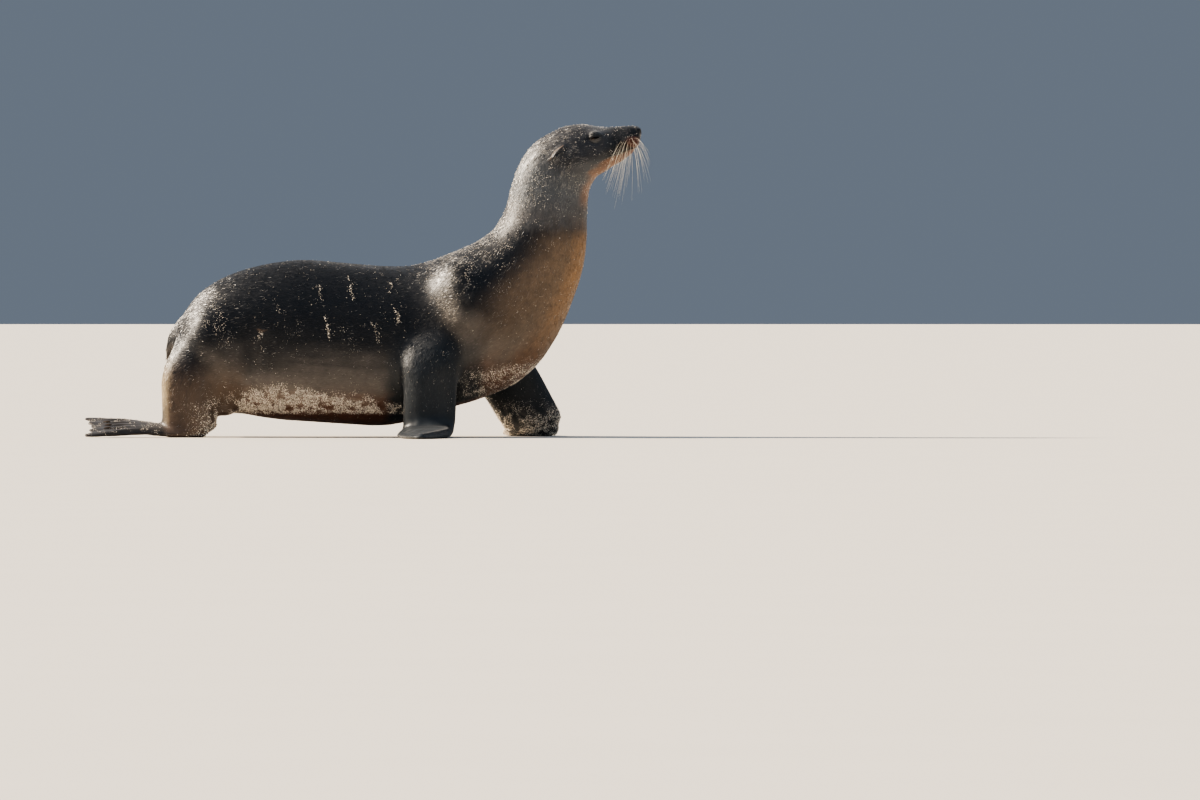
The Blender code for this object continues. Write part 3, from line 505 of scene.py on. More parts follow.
def body_forms(side):
    """Muscles and hollows under the coat: middle, radii and height, negative where the form sinks in."""
    word = SIDES[side]
    arm, leg = f"foreleg_{word}", f"hind_leg_{word}"
    return [
        Form(at("chest", side, 0.12, 0.95, 0.52), (0.085, 0.080, 0.150), -0.0065),
        Form(at("chest", side, 0.37, 0.90, 0.62), (0.055, 0.080, 0.130), 0.0060),
        Form(at("chest", side, 0.62, 0.80, 0.62), (0.060, 0.070, 0.090), -0.0040),
        Form(at("chest", side, 0.42, 0.75, 0.20), (0.030, 0.060, 0.060), -0.0040),
        Form(at(arm, side, 0.02, 0.95, 0.80), (0.045, 0.050, 0.080), -0.0055),
        Form(at(arm, side, -0.25, 0.90, 0.80), (0.050, 0.050, 0.090), 0.0012),
        Form(at(arm, side, 0.55, 0.60, 0.80), (0.050, 0.050, 0.070), 0.0030),
        Form(at(arm, side, 0.30, 0.85, 0.45), (0.022, 0.045, 0.080), 0.0020),
        Form(at(arm, side, 0.60, 0.90, 0.35), (0.018, 0.045, 0.070), -0.0022),
        Form(at("trunk", side, 0.10, 0.95, 0.45), (0.060, 0.070, 0.100), -0.0045),
        Form(at("rump", side, 0.50, 0.90, 0.58), (0.060, 0.070, 0.080), 0.0030),
        Form(at("rump", side, 0.60, 0.50, 0.90), (0.040, 0.040, 0.030), 0.0022),
        Form(at(leg, side, 0.40, 0.90, 0.55), (0.020, 0.050, 0.090), 0.0022),
        Form(at(leg, side, 0.66, 0.90, 0.45), (0.018, 0.050, 0.080), -0.0022),
        Form(at("neck", side, 0.75, 0.70, 0.50), (0.030, 0.050, 0.110), 0.0025),
        Form(at("neck", side, 0.45, 0.85, 0.45), (0.030, 0.050, 0.110), -0.0022),
    ]


def face_forms(side):
    """The head's bones and pads, from the eye: brow, cheek, hollow before the eye, whisker pad, jowl."""
    return [
        Form(face(side, -0.004, 0.036, 0.016), (0.020, 0.020, 0.009), 0.0006),
        Form(face(side, -0.010, 0.045, -0.024), (0.026, 0.022, 0.014), 0.0016),
        Form(face(side, 0.034, 0.030, -0.004), (0.018, 0.016, 0.012), -0.0018),
        Form(face(side, 0.078, 0.026, -0.009), (0.022, 0.018, 0.013), 0.0016),
        Form(face(side, 0.052, 0.026, -0.020), (0.016, 0.016, 0.009), -0.0010),
        Form(face(side, -0.040, 0.060, -0.045), (0.030, 0.030, 0.030), 0.0015),
    ]


def shape_forms(points, normals, forms):
    """Swells or sinks the surface at each form."""
    moved = np.zeros(len(points))
    for form in forms:
        moved += form.height * inside(points, form.centre, form.radii)
    return points + normals * moved[:, None]


def crease(points, normals, path, width, depth, flat=False, fade=None):
    """A valley along a path, with a low swelling on either side of it."""
    away = path_distance(points, path, flat)
    valley = np.exp(-((away / width) ** 2))
    rims = 0.30 * np.exp(-(((away - 2.2 * width) / width) ** 2))
    depth = depth * (1.0 if fade is None else fade)
    return points + normals * ((rims - valley) * depth)[:, None]


def refine(obj, wanted):
    """Halves the mesh where `wanted`, a function of points, says more than a half."""
    mesh = bmesh.new()
    mesh.from_mesh(obj.data)
    mesh.verts.ensure_lookup_table()
    flags = wanted(np.array([v.co for v in mesh.verts])) > 0.5
    edges = [e for e in mesh.edges if flags[e.verts[0].index] and flags[e.verts[1].index]]
    bmesh.ops.subdivide_edges(mesh, edges=edges, cuts=1, use_grid_fill=True)
    mesh.to_mesh(obj.data)
    mesh.free()


def relax(mesh, weight, rounds):
    """Draws each point towards its neighbours, by its weight."""
    points, edges = read(mesh), read(mesh, "edges", "vertices", 2).astype(int)
    links = np.maximum(np.bincount(edges.ravel(), minlength=len(points)), 1)[:, None]
    for _ in range(rounds):
        total = np.stack([
            np.bincount(edges[:, 0], points[edges[:, 1], axis], len(points))
            + np.bincount(edges[:, 1], points[edges[:, 0], axis], len(points))
            for axis in range(3)
        ], axis=1)
        points += 0.5 * weight[:, None] * (total / links - points)
    write_points(mesh, points)


# The slit between the lids, seen from the side: half its length, how far the upper and the lower lid stand
# from its middle, and how much its rear end is lower.
SLIT_HALF_LENGTH = 0.0135
UPPER_LID, LOWER_LID = 0.0030, 0.0026
SLIT_SLANT = math.radians(14)
LID_EDGE = 0.0011        # how far the lid's edge stands off the eyeball
LID_BACK = 0.0015        # the same a few millimetres from the edge


def eye_view(points, side):
    """Where points lie from an eye, along and across its slit, and how far from the lids' edges."""
    offset = points - EYE[side]
    along = offset[:, 0] * math.cos(SLIT_SLANT) + offset[:, 2] * math.sin(SLIT_SLANT)
    across = offset[:, 2] * math.cos(SLIT_SLANT) - offset[:, 0] * math.sin(SLIT_SLANT)
    arch = np.clip(1 - (along / SLIT_HALF_LENGTH) ** 2, 0, 1) ** 0.8
    edge = np.where(across > 0, across - UPPER_LID * arch, -across - LOWER_LID * arch)
    past_corner = np.maximum(np.abs(along) - SLIT_HALF_LENGTH, 0)
    edge = np.where(past_corner > 0, np.hypot(past_corner, across), edge)
    return offset, along, across, edge


def shape_eye(points, side):
    """Lays the lids over the eyeball, and sinks the skin behind it where they open."""
    offset, along, across, edge = eye_view(points, side)
    away = np.linalg.norm(offset, axis=1)
    outward = offset[:, 1] * side / np.maximum(away, 1e-9)
    reach = np.hypot(along / 0.0225, across / 0.0185)
    share = (1 - eased(reach, 0.62, 1.0)) * eased(outward, 0.25, 0.5)
    lid = LID_EDGE + (LID_BACK - LID_EDGE) * eased(edge, 0.0005, 0.0055)
    brow_fold = 0.0007 * np.exp(-(((across - 0.0085) / 0.0013) ** 2)) * eased(across, 0.0, 0.004)
    bag_fold = 0.0006 * np.exp(-(((across + 0.0082) / 0.0013) ** 2)) * eased(-across, 0.0, 0.004)
    target = EYE_RADIUS + lid - brow_fold - bag_fold
    target = target + (EYE_RADIUS - 0.0045 - target) * (1 - eased(edge, -0.0011, 0.0001))
    wanted = away + (target - away) * share
    return EYE[side] + offset * (wanted / np.maximum(away, 1e-9))[:, None]


def mouth_line(side):
    """From under the nose back along the side of the snout to the corner of the mouth."""
    corners = [(0.1010, 0.006, -0.0140), (0.0960, 0.016, -0.0172), (0.0795, 0.026, -0.0235),
               (0.0620, 0.031, -0.0305), (0.0350, 0.036, -0.0405), (0.0140, 0.040, -0.0500),
               (0.0080, 0.042, -0.0555)]
    return smooth_path([face(side, *corner) for corner in corners], 6)


def nostril_line(side):
    """A comma-shaped slit in the nose, from the front near the middle up, back and down."""
    corners = [(0.1015, 0.0042, 0.0125), (0.1000, 0.0070, 0.0185), (0.0965, 0.0108, 0.0190),
               (0.0925, 0.0128, 0.0150)]
    return smooth_path([face(side, *corner) for corner in corners], 6)


def ear_line(side):
    """The middle of the ear, from its root back and down to its tip."""
    low, high = box_of(f"ear_{SIDES[side]}")
    inner, outer = (low[1], high[1]) if side == LEFT else (high[1], low[1])
    root = np.array([high[0] - 0.006, inner + 0.25 * (outer - inner), high[2] - 0.006])
    tip = np.array([low[0] + 0.001, outer - 0.10 * (outer - inner), low[2] + 0.001])
    return np.array([root, (root + tip) / 2, tip])


def nose_share(points):
    """1 on the bare nose pad."""
    return eased(inside(points, NOSE_TIP + [-0.006, 0, 0.0015], (0.0165, 0.0215, 0.0140)), 0.02, 0.16)


def face_detail(points):
    """1 where the head's mesh is halved once."""
    return (inside(points, face(LEFT, 0.050, 0.0, -0.008), (0.088, 0.085, 0.066)) > 0.05).astype(float)


def fine_detail(points):
    """1 where it is halved again: round the eyes, nostrils, mouth and ears."""
    found = nose_share(points) > 0.05
    for side in SIDES:
        found |= (np.linalg.norm(points - (EYE[side] + [0, side * 0.014, 0]), axis=1) < 0.023)
        found |= path_distance(points, mouth_line(side)) < 0.0055
        found |= path_distance(points, ear_line(side)) < 0.0125
    return found.astype(float)


def shape_face(mesh):
    """Lids, nose, mouth, ears and the small folds of the head."""
    for side in SIDES:
        points, normals = read(mesh), normals_of(mesh)
        points = shape_forms(points, normals, face_forms(side))
        mouth = mouth_line(side)
        corner_fade = eased(points[:, 0], mouth[-1][0] - 0.004, mouth[-1][0] + 0.012)
        points = crease(points, normals, mouth, 0.0011, 0.0024, fade=corner_fade)
        points = crease(points, normals, nostril_line(side), 0.0011, 0.0042)
        write_points(mesh, points)
    points, normals = read(mesh), normals_of(mesh)
    middle = [face(LEFT, 0.106, 0, 0.008), face(LEFT, 0.103, 0, -0.004), face(LEFT, 0.100, 0, -0.014)]
    points = crease(points, normals, smooth_path(middle, 4), 0.0010, 0.0014)
    pad = nose_share(points)
    points = points + normals * (0.0006 * pad)[:, None]
    for side in SIDES:
        points = shape_eye(points, side)
    write_points(mesh, points)
    shape_ears(mesh)


def shape_ears(mesh):
    """Rolls each ear into a scroll: a groove along its under side, and a dip before its root."""
    for side in SIDES:
        points, normals = read(mesh), normals_of(mesh)
        line = ear_line(side)
        groove = line + np.array([-0.0015, side * 0.0010, -0.0052])
        points = crease(points, normals, groove[:2], 0.0016, 0.0030)
        points = crease(points, normals, groove[1:], 0.0010, 0.0014)
        root_dip = [line[0] + [0.007, side * 0.004, -0.005], line[0] + [0.004, side * 0.004, -0.011]]
        points = crease(points, normals, root_dip, 0.0024, 0.0016)
        write_points(mesh, points)


def shape_limbs(mesh):
    """The spines of the shoulder blades, grooves between fingers and toes, and folds at the limbs' roots."""
    points, normals = read(mesh), normals_of(mesh)
    spine = [place("chest", 0.34, 0, 0.80), place("chest", 0.36, 0, 0.66), place("chest", 0.37, 0, 0.50)]
    beside = eased(np.abs(points[:, 1]), 0.03, 0.06)
    points = crease(points, normals, spine, 0.026, -0.0044, flat=True, fade=beside)
    for side, word in SIDES.items():
        upper = eased(normals[:, 2], 0.1, 0.5)
        for one, two in zip(FINGERS, FINGERS[1:]):
            root = hand_point(side, 0.10, (one[0] + two[0]) / 2)
            middle = hand_point(side, (one[1] + two[1]) / 4,
                                (one[0] + two[0] + one[2] + two[2]) / 4)
            tip = hand_point(side, (one[1] + two[1]) / 2 * 0.97, (one[2] + two[2]) / 2)
            path = np.array([root, middle, tip]) + [0, 0, 0.012]
            points = crease(points, normals, path, 0.0045, 0.0016, fade=upper)
        lines = toe_lines(side)
        for one, two in zip(lines, lines[1:]):
            path = [(a + b) / 2 for a, b in zip(one, two)]
            before_tip = 1 - eased(np.linalg.norm(points - path[0], axis=1), 0.085, 0.125)
            points = crease(points, normals, path, 0.0048, 0.0034, fade=upper * before_tip)
        arm = f"foreleg_{word}"
        fold = [front_edge(arm, low, low + 0.12) + [0.004, side * -0.006, 0]
                for low in (0.72, 0.55, 0.38, 0.22)]
        points = crease(points, normals, smooth_path(fold, 5), 0.0035, 0.0028)
        heel = ankle(side) + [-0.058, side * 0.02, 0.034]
        folds = [[heel, heel + [0.030, side * 0.012, 0.010]],
                 [heel + [0.002, 0, 0.011], heel + [0.026, side * 0.012, 0.020]]]
        for fold in folds:
            points = crease(points, normals, fold, 0.0022, 0.0014)
    write_points(mesh, points)


def unwrap(obj):
    """Lays the surface out flat, in a map kept for baking."""
    alone(obj)
    obj.data.uv_layers.new(name=BAKE_MAP)
    bpy.ops.object.mode_set(mode="EDIT")
    bpy.ops.mesh.select_all(action="SELECT")
    bpy.ops.uv.smart_project(angle_limit=1.15, island_margin=0.002, scale_to_bounds=True)
    bpy.ops.object.mode_set(mode="OBJECT")


FLAT_UNDER = 0.0012      # what is nearer to the floor than this lies on it


def settle(mesh):
    """Nothing reaches under the floor, and what all but touches it lies on it."""
    points = read(mesh)
    points[:, 2] = np.where(points[:, 2] < FLAT_UNDER, 0.0, points[:, 2])
    write_points(mesh, points)


# ---------------------------------------------------------------- markings and painted light


def side_line(z, *corners):
    """The x of a line of (x, y, z) corners, seen from the side, at each height."""
    corners = sorted((corner[2], corner[0]) for corner in corners)
    heights, lengths = zip(*corners)
    return np.interp(z, heights, lengths)


def clouds(points, size, offset=0.0):
    """Soft noise from about 0 to 1, with blotches of about this size."""
    scaled = points / size + offset
    return np.array([noise.noise(Vector(p)) for p in scaled]) * 0.9 + 0.5


COLLAR = 0.58            # where the neck's grey ends and the chest begins, as a share of the neck's height


def chest_share(points):
    """1 on the pale chest, ahead of a line from the throat down over the shoulder to the armpit."""
    line = side_line(points[:, 2], place("chest", 0.74, 0, 1.0), place("chest", 0.64, 0, 0.83),
                     place("chest", 0.42, 0, 0.63), place("chest", 0.35, 0, 0.45),
                     place("chest", 0.33, 0, 0.10))
    ahead = eased(points[:, 0] - line, -0.005, 0.115)
    return ahead * (1 - eased(points[:, 2], z_at("chest", 0.86), z_at("chest", 1.02)))


def shoulder_sand_and_sheen(points):
    """1 on a wedge from the withers down the shoulder blade to over the elbow, for sand, pale tips and a
    painted highlight.
    """
    tip = place("chest", 0.33, 0, 0.46)
    rear = side_line(points[:, 2], tip, place("chest", 0.25, 0, 0.53), place("chest", 0.14, 0, 0.66),
                     place("chest", 0.12, 0, 0.80))
    front = side_line(points[:, 2], tip, place("chest", 0.44, 0, 0.72), place("chest", 0.61, 0, 0.82),
                      place("chest", 0.69, 0, 0.91))
    x = points[:, 0] + 0.020 * (clouds(points, 0.013, 21.0) - 0.5)
    above_tip = eased(points[:, 2] - tip[2], 0, 0.02)
    return eased(x - rear, -0.014, 0.024) * eased(front - x, -0.004, 0.009) * above_tip


LIMB_FADE = 0.02         # how wide the soft edge of a limb's colour is


def limb_share(points, node, low, high):
    """1 in a node's box, low and high being how far up the box it starts to fade and where it ends."""
    bottom, top = box_of(node)
    within = np.ones(len(points))
    for axis in (0, 1):
        within *= eased(points[:, axis], bottom[axis] - LIMB_FADE, bottom[axis])
        within *= 1 - eased(points[:, axis], top[axis], top[axis] + LIMB_FADE)
    height = (points[:, 2] - bottom[2]) / (top[2] - bottom[2])
    return within * (1 - eased(height, low, high))


def whole_node(points, node):
    """1 in a node's box up to its top."""
    return limb_share(points, node, 1.0, 2.0)


class Coat:
    """The coat's colour at each point, painted in layers, and how bare of fur the hide is there."""

    def __init__(self, points, normals, colours):
        self.points, self.normals, self.colours = points, normals, colours
        self.up = normals[:, 2] + 0.16 * (clouds(points, 0.035) - 0.5)
        self.tint = np.tile(np.array(colours.flank), (len(points), 1))
        self.bare = np.zeros(len(points))

    def paint(self, name, share):
        """Lays one of the settings' colours over the others, where and as thickly as `share` says."""
        paint_colour = np.array(getattr(self.colours, name))
        self.tint += (paint_colour - self.tint) * np.clip(share, 0, 1)[:, None]

    def strip(self, share):
        """Makes the hide at least this bare."""
        self.bare = np.maximum(self.bare, share)


def paint_trunk(coat):
    """Dark back, brown belly, pale chest with painted shade and bounce light, painted highlight on the
    shoulders.
    """
    points, normals, up = coat.points, coat.normals, coat.up
    coat.paint("back", eased(up, -0.34, 0.12))
    coat.paint("belly", eased(-up, 0.30, 0.75))
    # The chest's pale colour fades out towards its bottom: painted shade under the foreleg.
    pale = chest_share(points) * eased(points[:, 2], z_at("chest", 0.10), z_at("chest", 0.78))
    coat.paint("chest", pale)
    # Paler where the chest faces forward: its own paler front, and partly painted bounce light from the
    # floor.
    coat.paint("chest_front_and_bounce_light", pale * eased(normals[:, 0] - 0.6 * normals[:, 2], 0.55, 1.05))
    # Pale tips on the shoulder wedge, thickest where the surface faces less up and the sun misses it: a
    # painted highlight of sunlit fur.
    coat.paint("pale_tips_and_glints", (0.22 - 0.19 * eased(up, 0.05, 0.40)) * shoulder_sand_and_sheen(points))


def paint_limbs(coat, side):
    """Brown hind legs with a pale rear that is partly a painted highlight of the sun, dark forelegs, bare
    hands and webs.
    """
    points, word = coat.points, SIDES[side]
    leg, arm = f"hind_leg_{word}", f"foreleg_{word}"
    coat.paint("foot", limb_share(points, leg, 0.45, 0.95))
    # Paler where the shank faces back towards the sun: tan fur and partly a painted highlight.
    coat.paint("shank_rear_and_highlight", limb_share(points, leg, 0.55, 0.95) * eased(-coat.normals[:, 0], 0.35, 0.80))
    coat.paint("flipper", limb_share(points, arm, 0.50, 1.15))
    hand = np.maximum(limb_share(points, arm, 0.05, 0.30), whole_node(points, f"fore_flipper_{word}"))
    coat.paint("flipper", hand)
    hind = whole_node(points, f"hind_flipper_{word}")
    coat.paint("web", hind)
    toe_web = hind * eased(np.linalg.norm(points - ankle(side), axis=1), 0.06, 0.12)
    coat.strip(np.maximum(hand, 0.85 * toe_web))


def paint_head(coat, collar):
    """Grey neck above a collar, darker head, nearly black snout with reddish pads, and a brown throat."""
    points, up = coat.points, coat.up
    x, z = points[:, 0], points[:, 2]
    ahead = eased(x, x_at("neck", 0.0), x_at("neck", 0.2))
    coat.paint("neck", eased(z, collar - 0.026, collar + 0.008) * ahead)
    band = np.exp(-(((z - collar - 0.012) / 0.026) ** 2)) * ahead
    coat.paint("flank", 0.6 * band)
    skull = inside(points, place("head", 0.45, 0.5, 0.55), (0.17, 0.15, 0.12))
    coat.paint("head", eased(skull, 0.15, 0.55) * eased(up, -0.5, 0.1))
    snout = eased(x, EYE[LEFT][0] + 0.010, EYE[LEFT][0] + 0.050) * eased(z, collar, collar + 0.06)
    coat.paint("muzzle", snout)
    for side in SIDES:
        pad = inside(points, face(side, 0.088, 0.022, -0.008), (0.034, 0.035, 0.022))
        coat.paint("pads", 0.9 * eased(pad, 0.15, 0.6))
    lip = mouth_line(LEFT)[::-1]
    corner, front = lip[0][0], lip[-1][0]
    below_lip = eased(np.interp(x, lip[:, 0], lip[:, 2]) - z, -0.001, 0.008)
    jaw = eased(x, corner - 0.02, corner + 0.02)
    turned = np.maximum(eased(-up, 0.25, 0.75), eased(coat.normals[:, 0], 0.60, 0.95))
    throat = turned * eased(x, corner - 0.09, corner - 0.03) * eased(z, collar + 0.02, collar + 0.06)
    coat.paint("throat", below_lip * np.maximum(0.85 * jaw, throat))
    coat.paint("pads", 0.7 * below_lip * eased(x, front - 0.060, front - 0.015))


def paint_features(coat, side):
    """The bare edges of lids and lips, painted shade over the upper lid, and the thinly haired ear with its
    pale rim.
    """
    points = coat.points
    _, along, across, rim = eye_view(points, side)
    near = eased(points[:, 1] * side, 0.0, 0.01) * (np.hypot(along, across) < 0.03)
    lower = eased(-across, -0.001, 0.001)
    coat.paint("lids", 0.5 * near * lower * (1 - eased(rim, 0.0008, 0.0020)))
    # Nearly black over the upper lid and the skin above it: painted shade of the brow over the eye.
    coat.paint("nose", 0.8 * near * (1 - lower) * (1 - eased(rim, 0.0010, 0.0130)))
    coat.strip(near * (1 - eased(rim, 0.0008, 0.0035)))
    lips = 1 - eased(path_distance(points, mouth_line(side)), 0.0008, 0.0030)
    coat.paint("nose", 0.8 * lips)
    coat.strip(lips)
    ear = 1 - eased(path_distance(points, ear_line(side)), 0.0045, 0.0085)
    coat.paint("head", 0.8 * ear)
    rim_path = smooth_path(ear_line(side) + [[0, 0, 0.0015], [-0.004, 0, 0.0040], [-0.001, 0, 0.0015]], 4)
    coat.paint("ear", 1 - eased(path_distance(points, rim_path, flat=True), 0.0004, 0.0016))
    coat.strip(0.3 * ear)


def coat_colours_and_painted_light(points, normals, colours):
    """The coat's colour at each point, with its painted shade and highlights, and how bare of fur the hide is
    there.
    """
    coat = Coat(points, normals, colours)
    paint_trunk(coat)
    for side in SIDES:
        paint_limbs(coat, side)
    paint_head(coat, z_at("neck", COLLAR))
    for side in SIDES:
        paint_features(coat, side)
    nose = nose_share(points)
    coat.paint("nose", nose)
    # A thin line in the lids' colour round the rear of the nose pad: a painted highlight on its rim.
    coat.paint("lids", 0.5 * np.exp(-(((nose - 0.30) / 0.16) ** 2)))
    coat.strip(nose)
    return coat.tint, coat.bare


def belly_sand(points):
    """1 in the band of sand along the lower flank."""
    x, z = points[:, 0], points[:, 2]
    corners = [place("trunk", *corner) for corner in (
        (-0.40, 0, 0.10), (-0.14, 0, 0.17), (0.10, 0, 0.24), (0.27, 0, 0.27), (0.48, 0, 0.215),
        (0.74, 0, 0.20), (0.95, 0, 0.135), (1.02, 0, 0.05))]
    top = np.interp(x, [corner[0] for corner in corners], [corner[2] for corner in corners])
    low = z_at("trunk", 0.065)
    thinner = 0.42 + 0.58 * eased(x, x_at("trunk", -0.06), x_at("trunk", 0.14))
    ends = eased(x, corners[0][0], corners[1][0]) * (1 - eased(x, corners[-2][0], corners[-1][0]))
    return eased(z, low, low + 0.014) * (1 - eased(z, top - 0.022, top + 0.010)) * ends * thinner


# Runs of sand that a wet flank picks up: from and to as shares of the trunk's length and height, how wide,
# and how thick.
STREAKS = [
    ((0.47, 0.85), (0.56, 0.49), 0.0032, 0.60), ((0.88, 0.87), (0.94, 0.62), 0.0028, 0.55),
    ((0.65, 0.91), (0.68, 0.75), 0.0028, 0.45), ((0.11, 0.67), (0.16, 0.44), 0.0045, 0.40),
    ((0.22, 0.75), (0.30, 0.62), 0.0120, 0.17), ((0.33, 0.66), (0.38, 0.55), 0.0100, 0.17),
    ((0.60, 0.56), (0.70, 0.46), 0.0130, 0.20), ((-0.12, 0.74), (-0.06, 0.50), 0.0180, 0.17),
    ((-0.17, 0.62), (-0.10, 0.56), 0.0120, 0.20), ((0.80, 0.60), (0.83, 0.50), 0.0060, 0.22),
]


def sand_clumps(points):
    """Noise by which sand clings in lumps."""
    return clouds(points, 0.016) * 0.6 + clouds(points, 0.045, 7.0) * 0.4


def thick_sand(points, normals):
    """How much sand sticks at each point where the animal lay in it: belly, breast, far arm and feet."""
    x, z = points[:, 0], points[:, 2]
    clump = sand_clumps(points)
    thick = belly_sand(points) * eased(clump, 0.12, 0.64)
    under = eased(-normals[:, 2], 0.45, 0.62) * (1 - eased(-normals[:, 2], 0.80, 0.95))
    breast = under * eased(x, x_at("chest", 0.32), x_at("chest", 0.40))
    breast *= 1 - eased(z, z_at("chest", 0.24), z_at("chest", 0.36))
    thick = np.maximum(thick, 0.40 * breast * (0.35 + 0.65 * eased(clump, 0.25, 0.65)))
    arm = limb_share(points, "foreleg_left", 0.10, 0.38)
    thick = np.maximum(thick, 0.65 * arm * eased(clump, 0.28, 0.58))
    for word in SIDES.values():
        front = limb_share(points, f"hind_leg_{word}", 0.10, 0.62) * eased(normals[:, 0], -0.1, 0.6)
        foot = whole_node(points, f"hind_flipper_{word}") * eased(normals[:, 2], 0.2, 0.7)
        thick = np.maximum(thick, 0.55 * front * eased(clump, 0.28, 0.62))
        thick = np.maximum(thick, 0.14 * foot * eased(clump, 0.40, 0.68))
    return thick


def sand_share(points, normals):
    """How much sand sticks to the coat at each point."""
    x, z = points[:, 0], points[:, 2]
    clump = sand_clumps(points)
    flank = eased(x, x_at("trunk", 0.0), x_at("trunk", 0.2))
    flank *= eased(z, z_at("trunk", 0.15), z_at("trunk", 0.25))
    streaks = np.array([noise.noise(Vector((p[0] / 0.011, p[1] / 0.05, p[2] / 0.055))) for p in points])
    thin = 0.10 * flank * eased(streaks, 0.28, 0.55) * eased(clump, 0.5, 0.8)
    wander = points + 0.010 * np.stack([clouds(points, 0.022, 3.0) - 0.5, x * 0,
                                        clouds(points, 0.022, 9.0) - 0.5], axis=1)
    for start, end, width, share in STREAKS:
        path = [place("trunk", start[0], 0, start[1]), place("trunk", end[0], 0, end[1])]
        streak = np.exp(-((path_distance(wander, path, flat=True) / width) ** 2))
        thin = np.maximum(thin, share * streak * eased(clump, 0.22, 0.60))
    front = eased(x, x_at("chest", 0.0), x_at("chest", 0.25))
    rough = eased(z, z_at("neck", COLLAR), z_at("neck", 0.78)) * front
    rough = np.maximum(rough, withers_share(points))
    specks = (0.012 + 0.10 * rough) * eased(clump, 0.30, 0.75)
    specks = np.maximum(specks, 0.13 * shoulder_sand_and_sheen(points) * eased(clump, 0.22, 0.62))
    keep_off = sum(inside(points, EYE[side], (0.035, 0.035, 0.03)) for side in SIDES) + nose_share(points)
    off = 1 - np.clip(3 * keep_off, 0, 1)
    off *= 1 - whole_node(points, "fore_flipper_right")
    return np.maximum(thick_sand(points, normals), np.maximum(thin, specks)) * off


def coat_length(points, bare):
    """The length of the coat as a share of that on the trunk: shortest on face and feet."""
    face_near = inside(points, face(LEFT, 0.04, 0.0, -0.01), (0.14, 0.14, 0.13))
    share = 1 - 0.62 * eased(face_near, 0.05, 0.55)
    for word in SIDES.values():
        share *= 1 - 0.35 * limb_share(points, f"hind_leg_{word}", 0.0, 0.6)
        share *= 1 - 0.50 * limb_share(points, f"foreleg_{word}", 0.3, 0.9)
        share *= 1 - 0.50 * whole_node(points, f"hind_flipper_{word}")
    return share * (1 - 0.3 * bare)


def dusted(tint, points, normals, colours):
    """The coat's colour with the dust that lies between the grains."""
    dust = 0.35 * thick_sand(points, normals)[:, None]
    return tint * (1 - dust) + np.array(colours.dust) * dust


def withers_share(points):
    """1 in the middle of the withers and 0 beyond the shoulders."""
    return inside(points, place("chest", 0.45, 0.5, 0.88), (0.19, 0.25, 0.20))


def pale_tip_and_glint_share(points):
    """How many of the tufts have pale tips, sand on them and partly painted glints of sun: most on the neck
    and shoulder blades, hardly any behind.
    """
    x, z = points[:, 0], points[:, 2]
    neck = eased(z, z_at("neck", 0.60), z_at("neck", 0.78))
    shoulder = np.maximum(withers_share(points), 1.5 * shoulder_sand_and_sheen(points))
    behind = eased(x, x_at("rump", 0.2), x_at("trunk", 0.25))
    patches = eased(clouds(points, 0.022, 5.0), 0.25, 0.75)
    ahead = np.minimum(np.maximum(neck, shoulder) * patches, 1.0)
    return np.maximum(ahead, 0.05 + 0.15 * (1 - behind) * patches)


def keep_markings(skin, colours):
    """Stores what materials, coat and sand read from the skin."""
    mesh = skin.data
    points, normals = read(mesh), normals_of(mesh)
    tint, bare = coat_colours_and_painted_light(points, normals, colours)
    tint = dusted(tint, points, normals, colours)
    lie, along, round_it = follow_guides(points)
    store(mesh, "tint", tint)
    store(mesh, "bare", bare)
    store(mesh, "sand", thick_sand(points, normals))
    store(mesh, "length", coat_length(points, bare))
    store(mesh, "lie", lie)
    store(mesh, "hair", np.stack([along, round_it, np.zeros(len(points))], axis=1))


# ---------------------------------------------------------------- materials


def add_node(tree, kind, inputs=None, **settings):
    """Adds a node with its settings. An input is a value, a socket to link from, or a node's first socket."""
    node = tree.nodes.new(f"ShaderNode{kind}")
    for name, value in settings.items():
        setattr(node, name, value)
    for name, value in (inputs or {}).items():
        if isinstance(value, bpy.types.Node):
            value = value.outputs[0]
        if isinstance(value, bpy.types.NodeSocket):
            tree.links.new(value, node.inputs[name])
        else:
            node.inputs[name].default_value = value
    return node


def start_material(name):
    """A new material and its node tree, emptied."""
    material = bpy.data.materials.new(name)
    material.use_nodes = True
    material.node_tree.nodes.clear()
    return material, material.node_tree


def surface_place(tree):
    """The socket that says where a point of the object is."""
    return add_node(tree, "TexCoord").outputs["Object"]


MIDDLE = {"From Min": 0.3, "From Max": 0.7}       # the span that noise mostly keeps to
MOTTLE = {"Scale": 60.0, "Detail": 4.0, "Roughness": 0.6}
STRANDS_PER_METRE = (85, 1000, 1)                 # along the hair and round the body
FOLDS_PER_METRE = 380.0
EYE_FIBRES_PER_METRE = 900.0
CLAW_STREAKS_PER_METRE = 700.0
FLOOR_CLOUDS_PER_METRE = 3.0


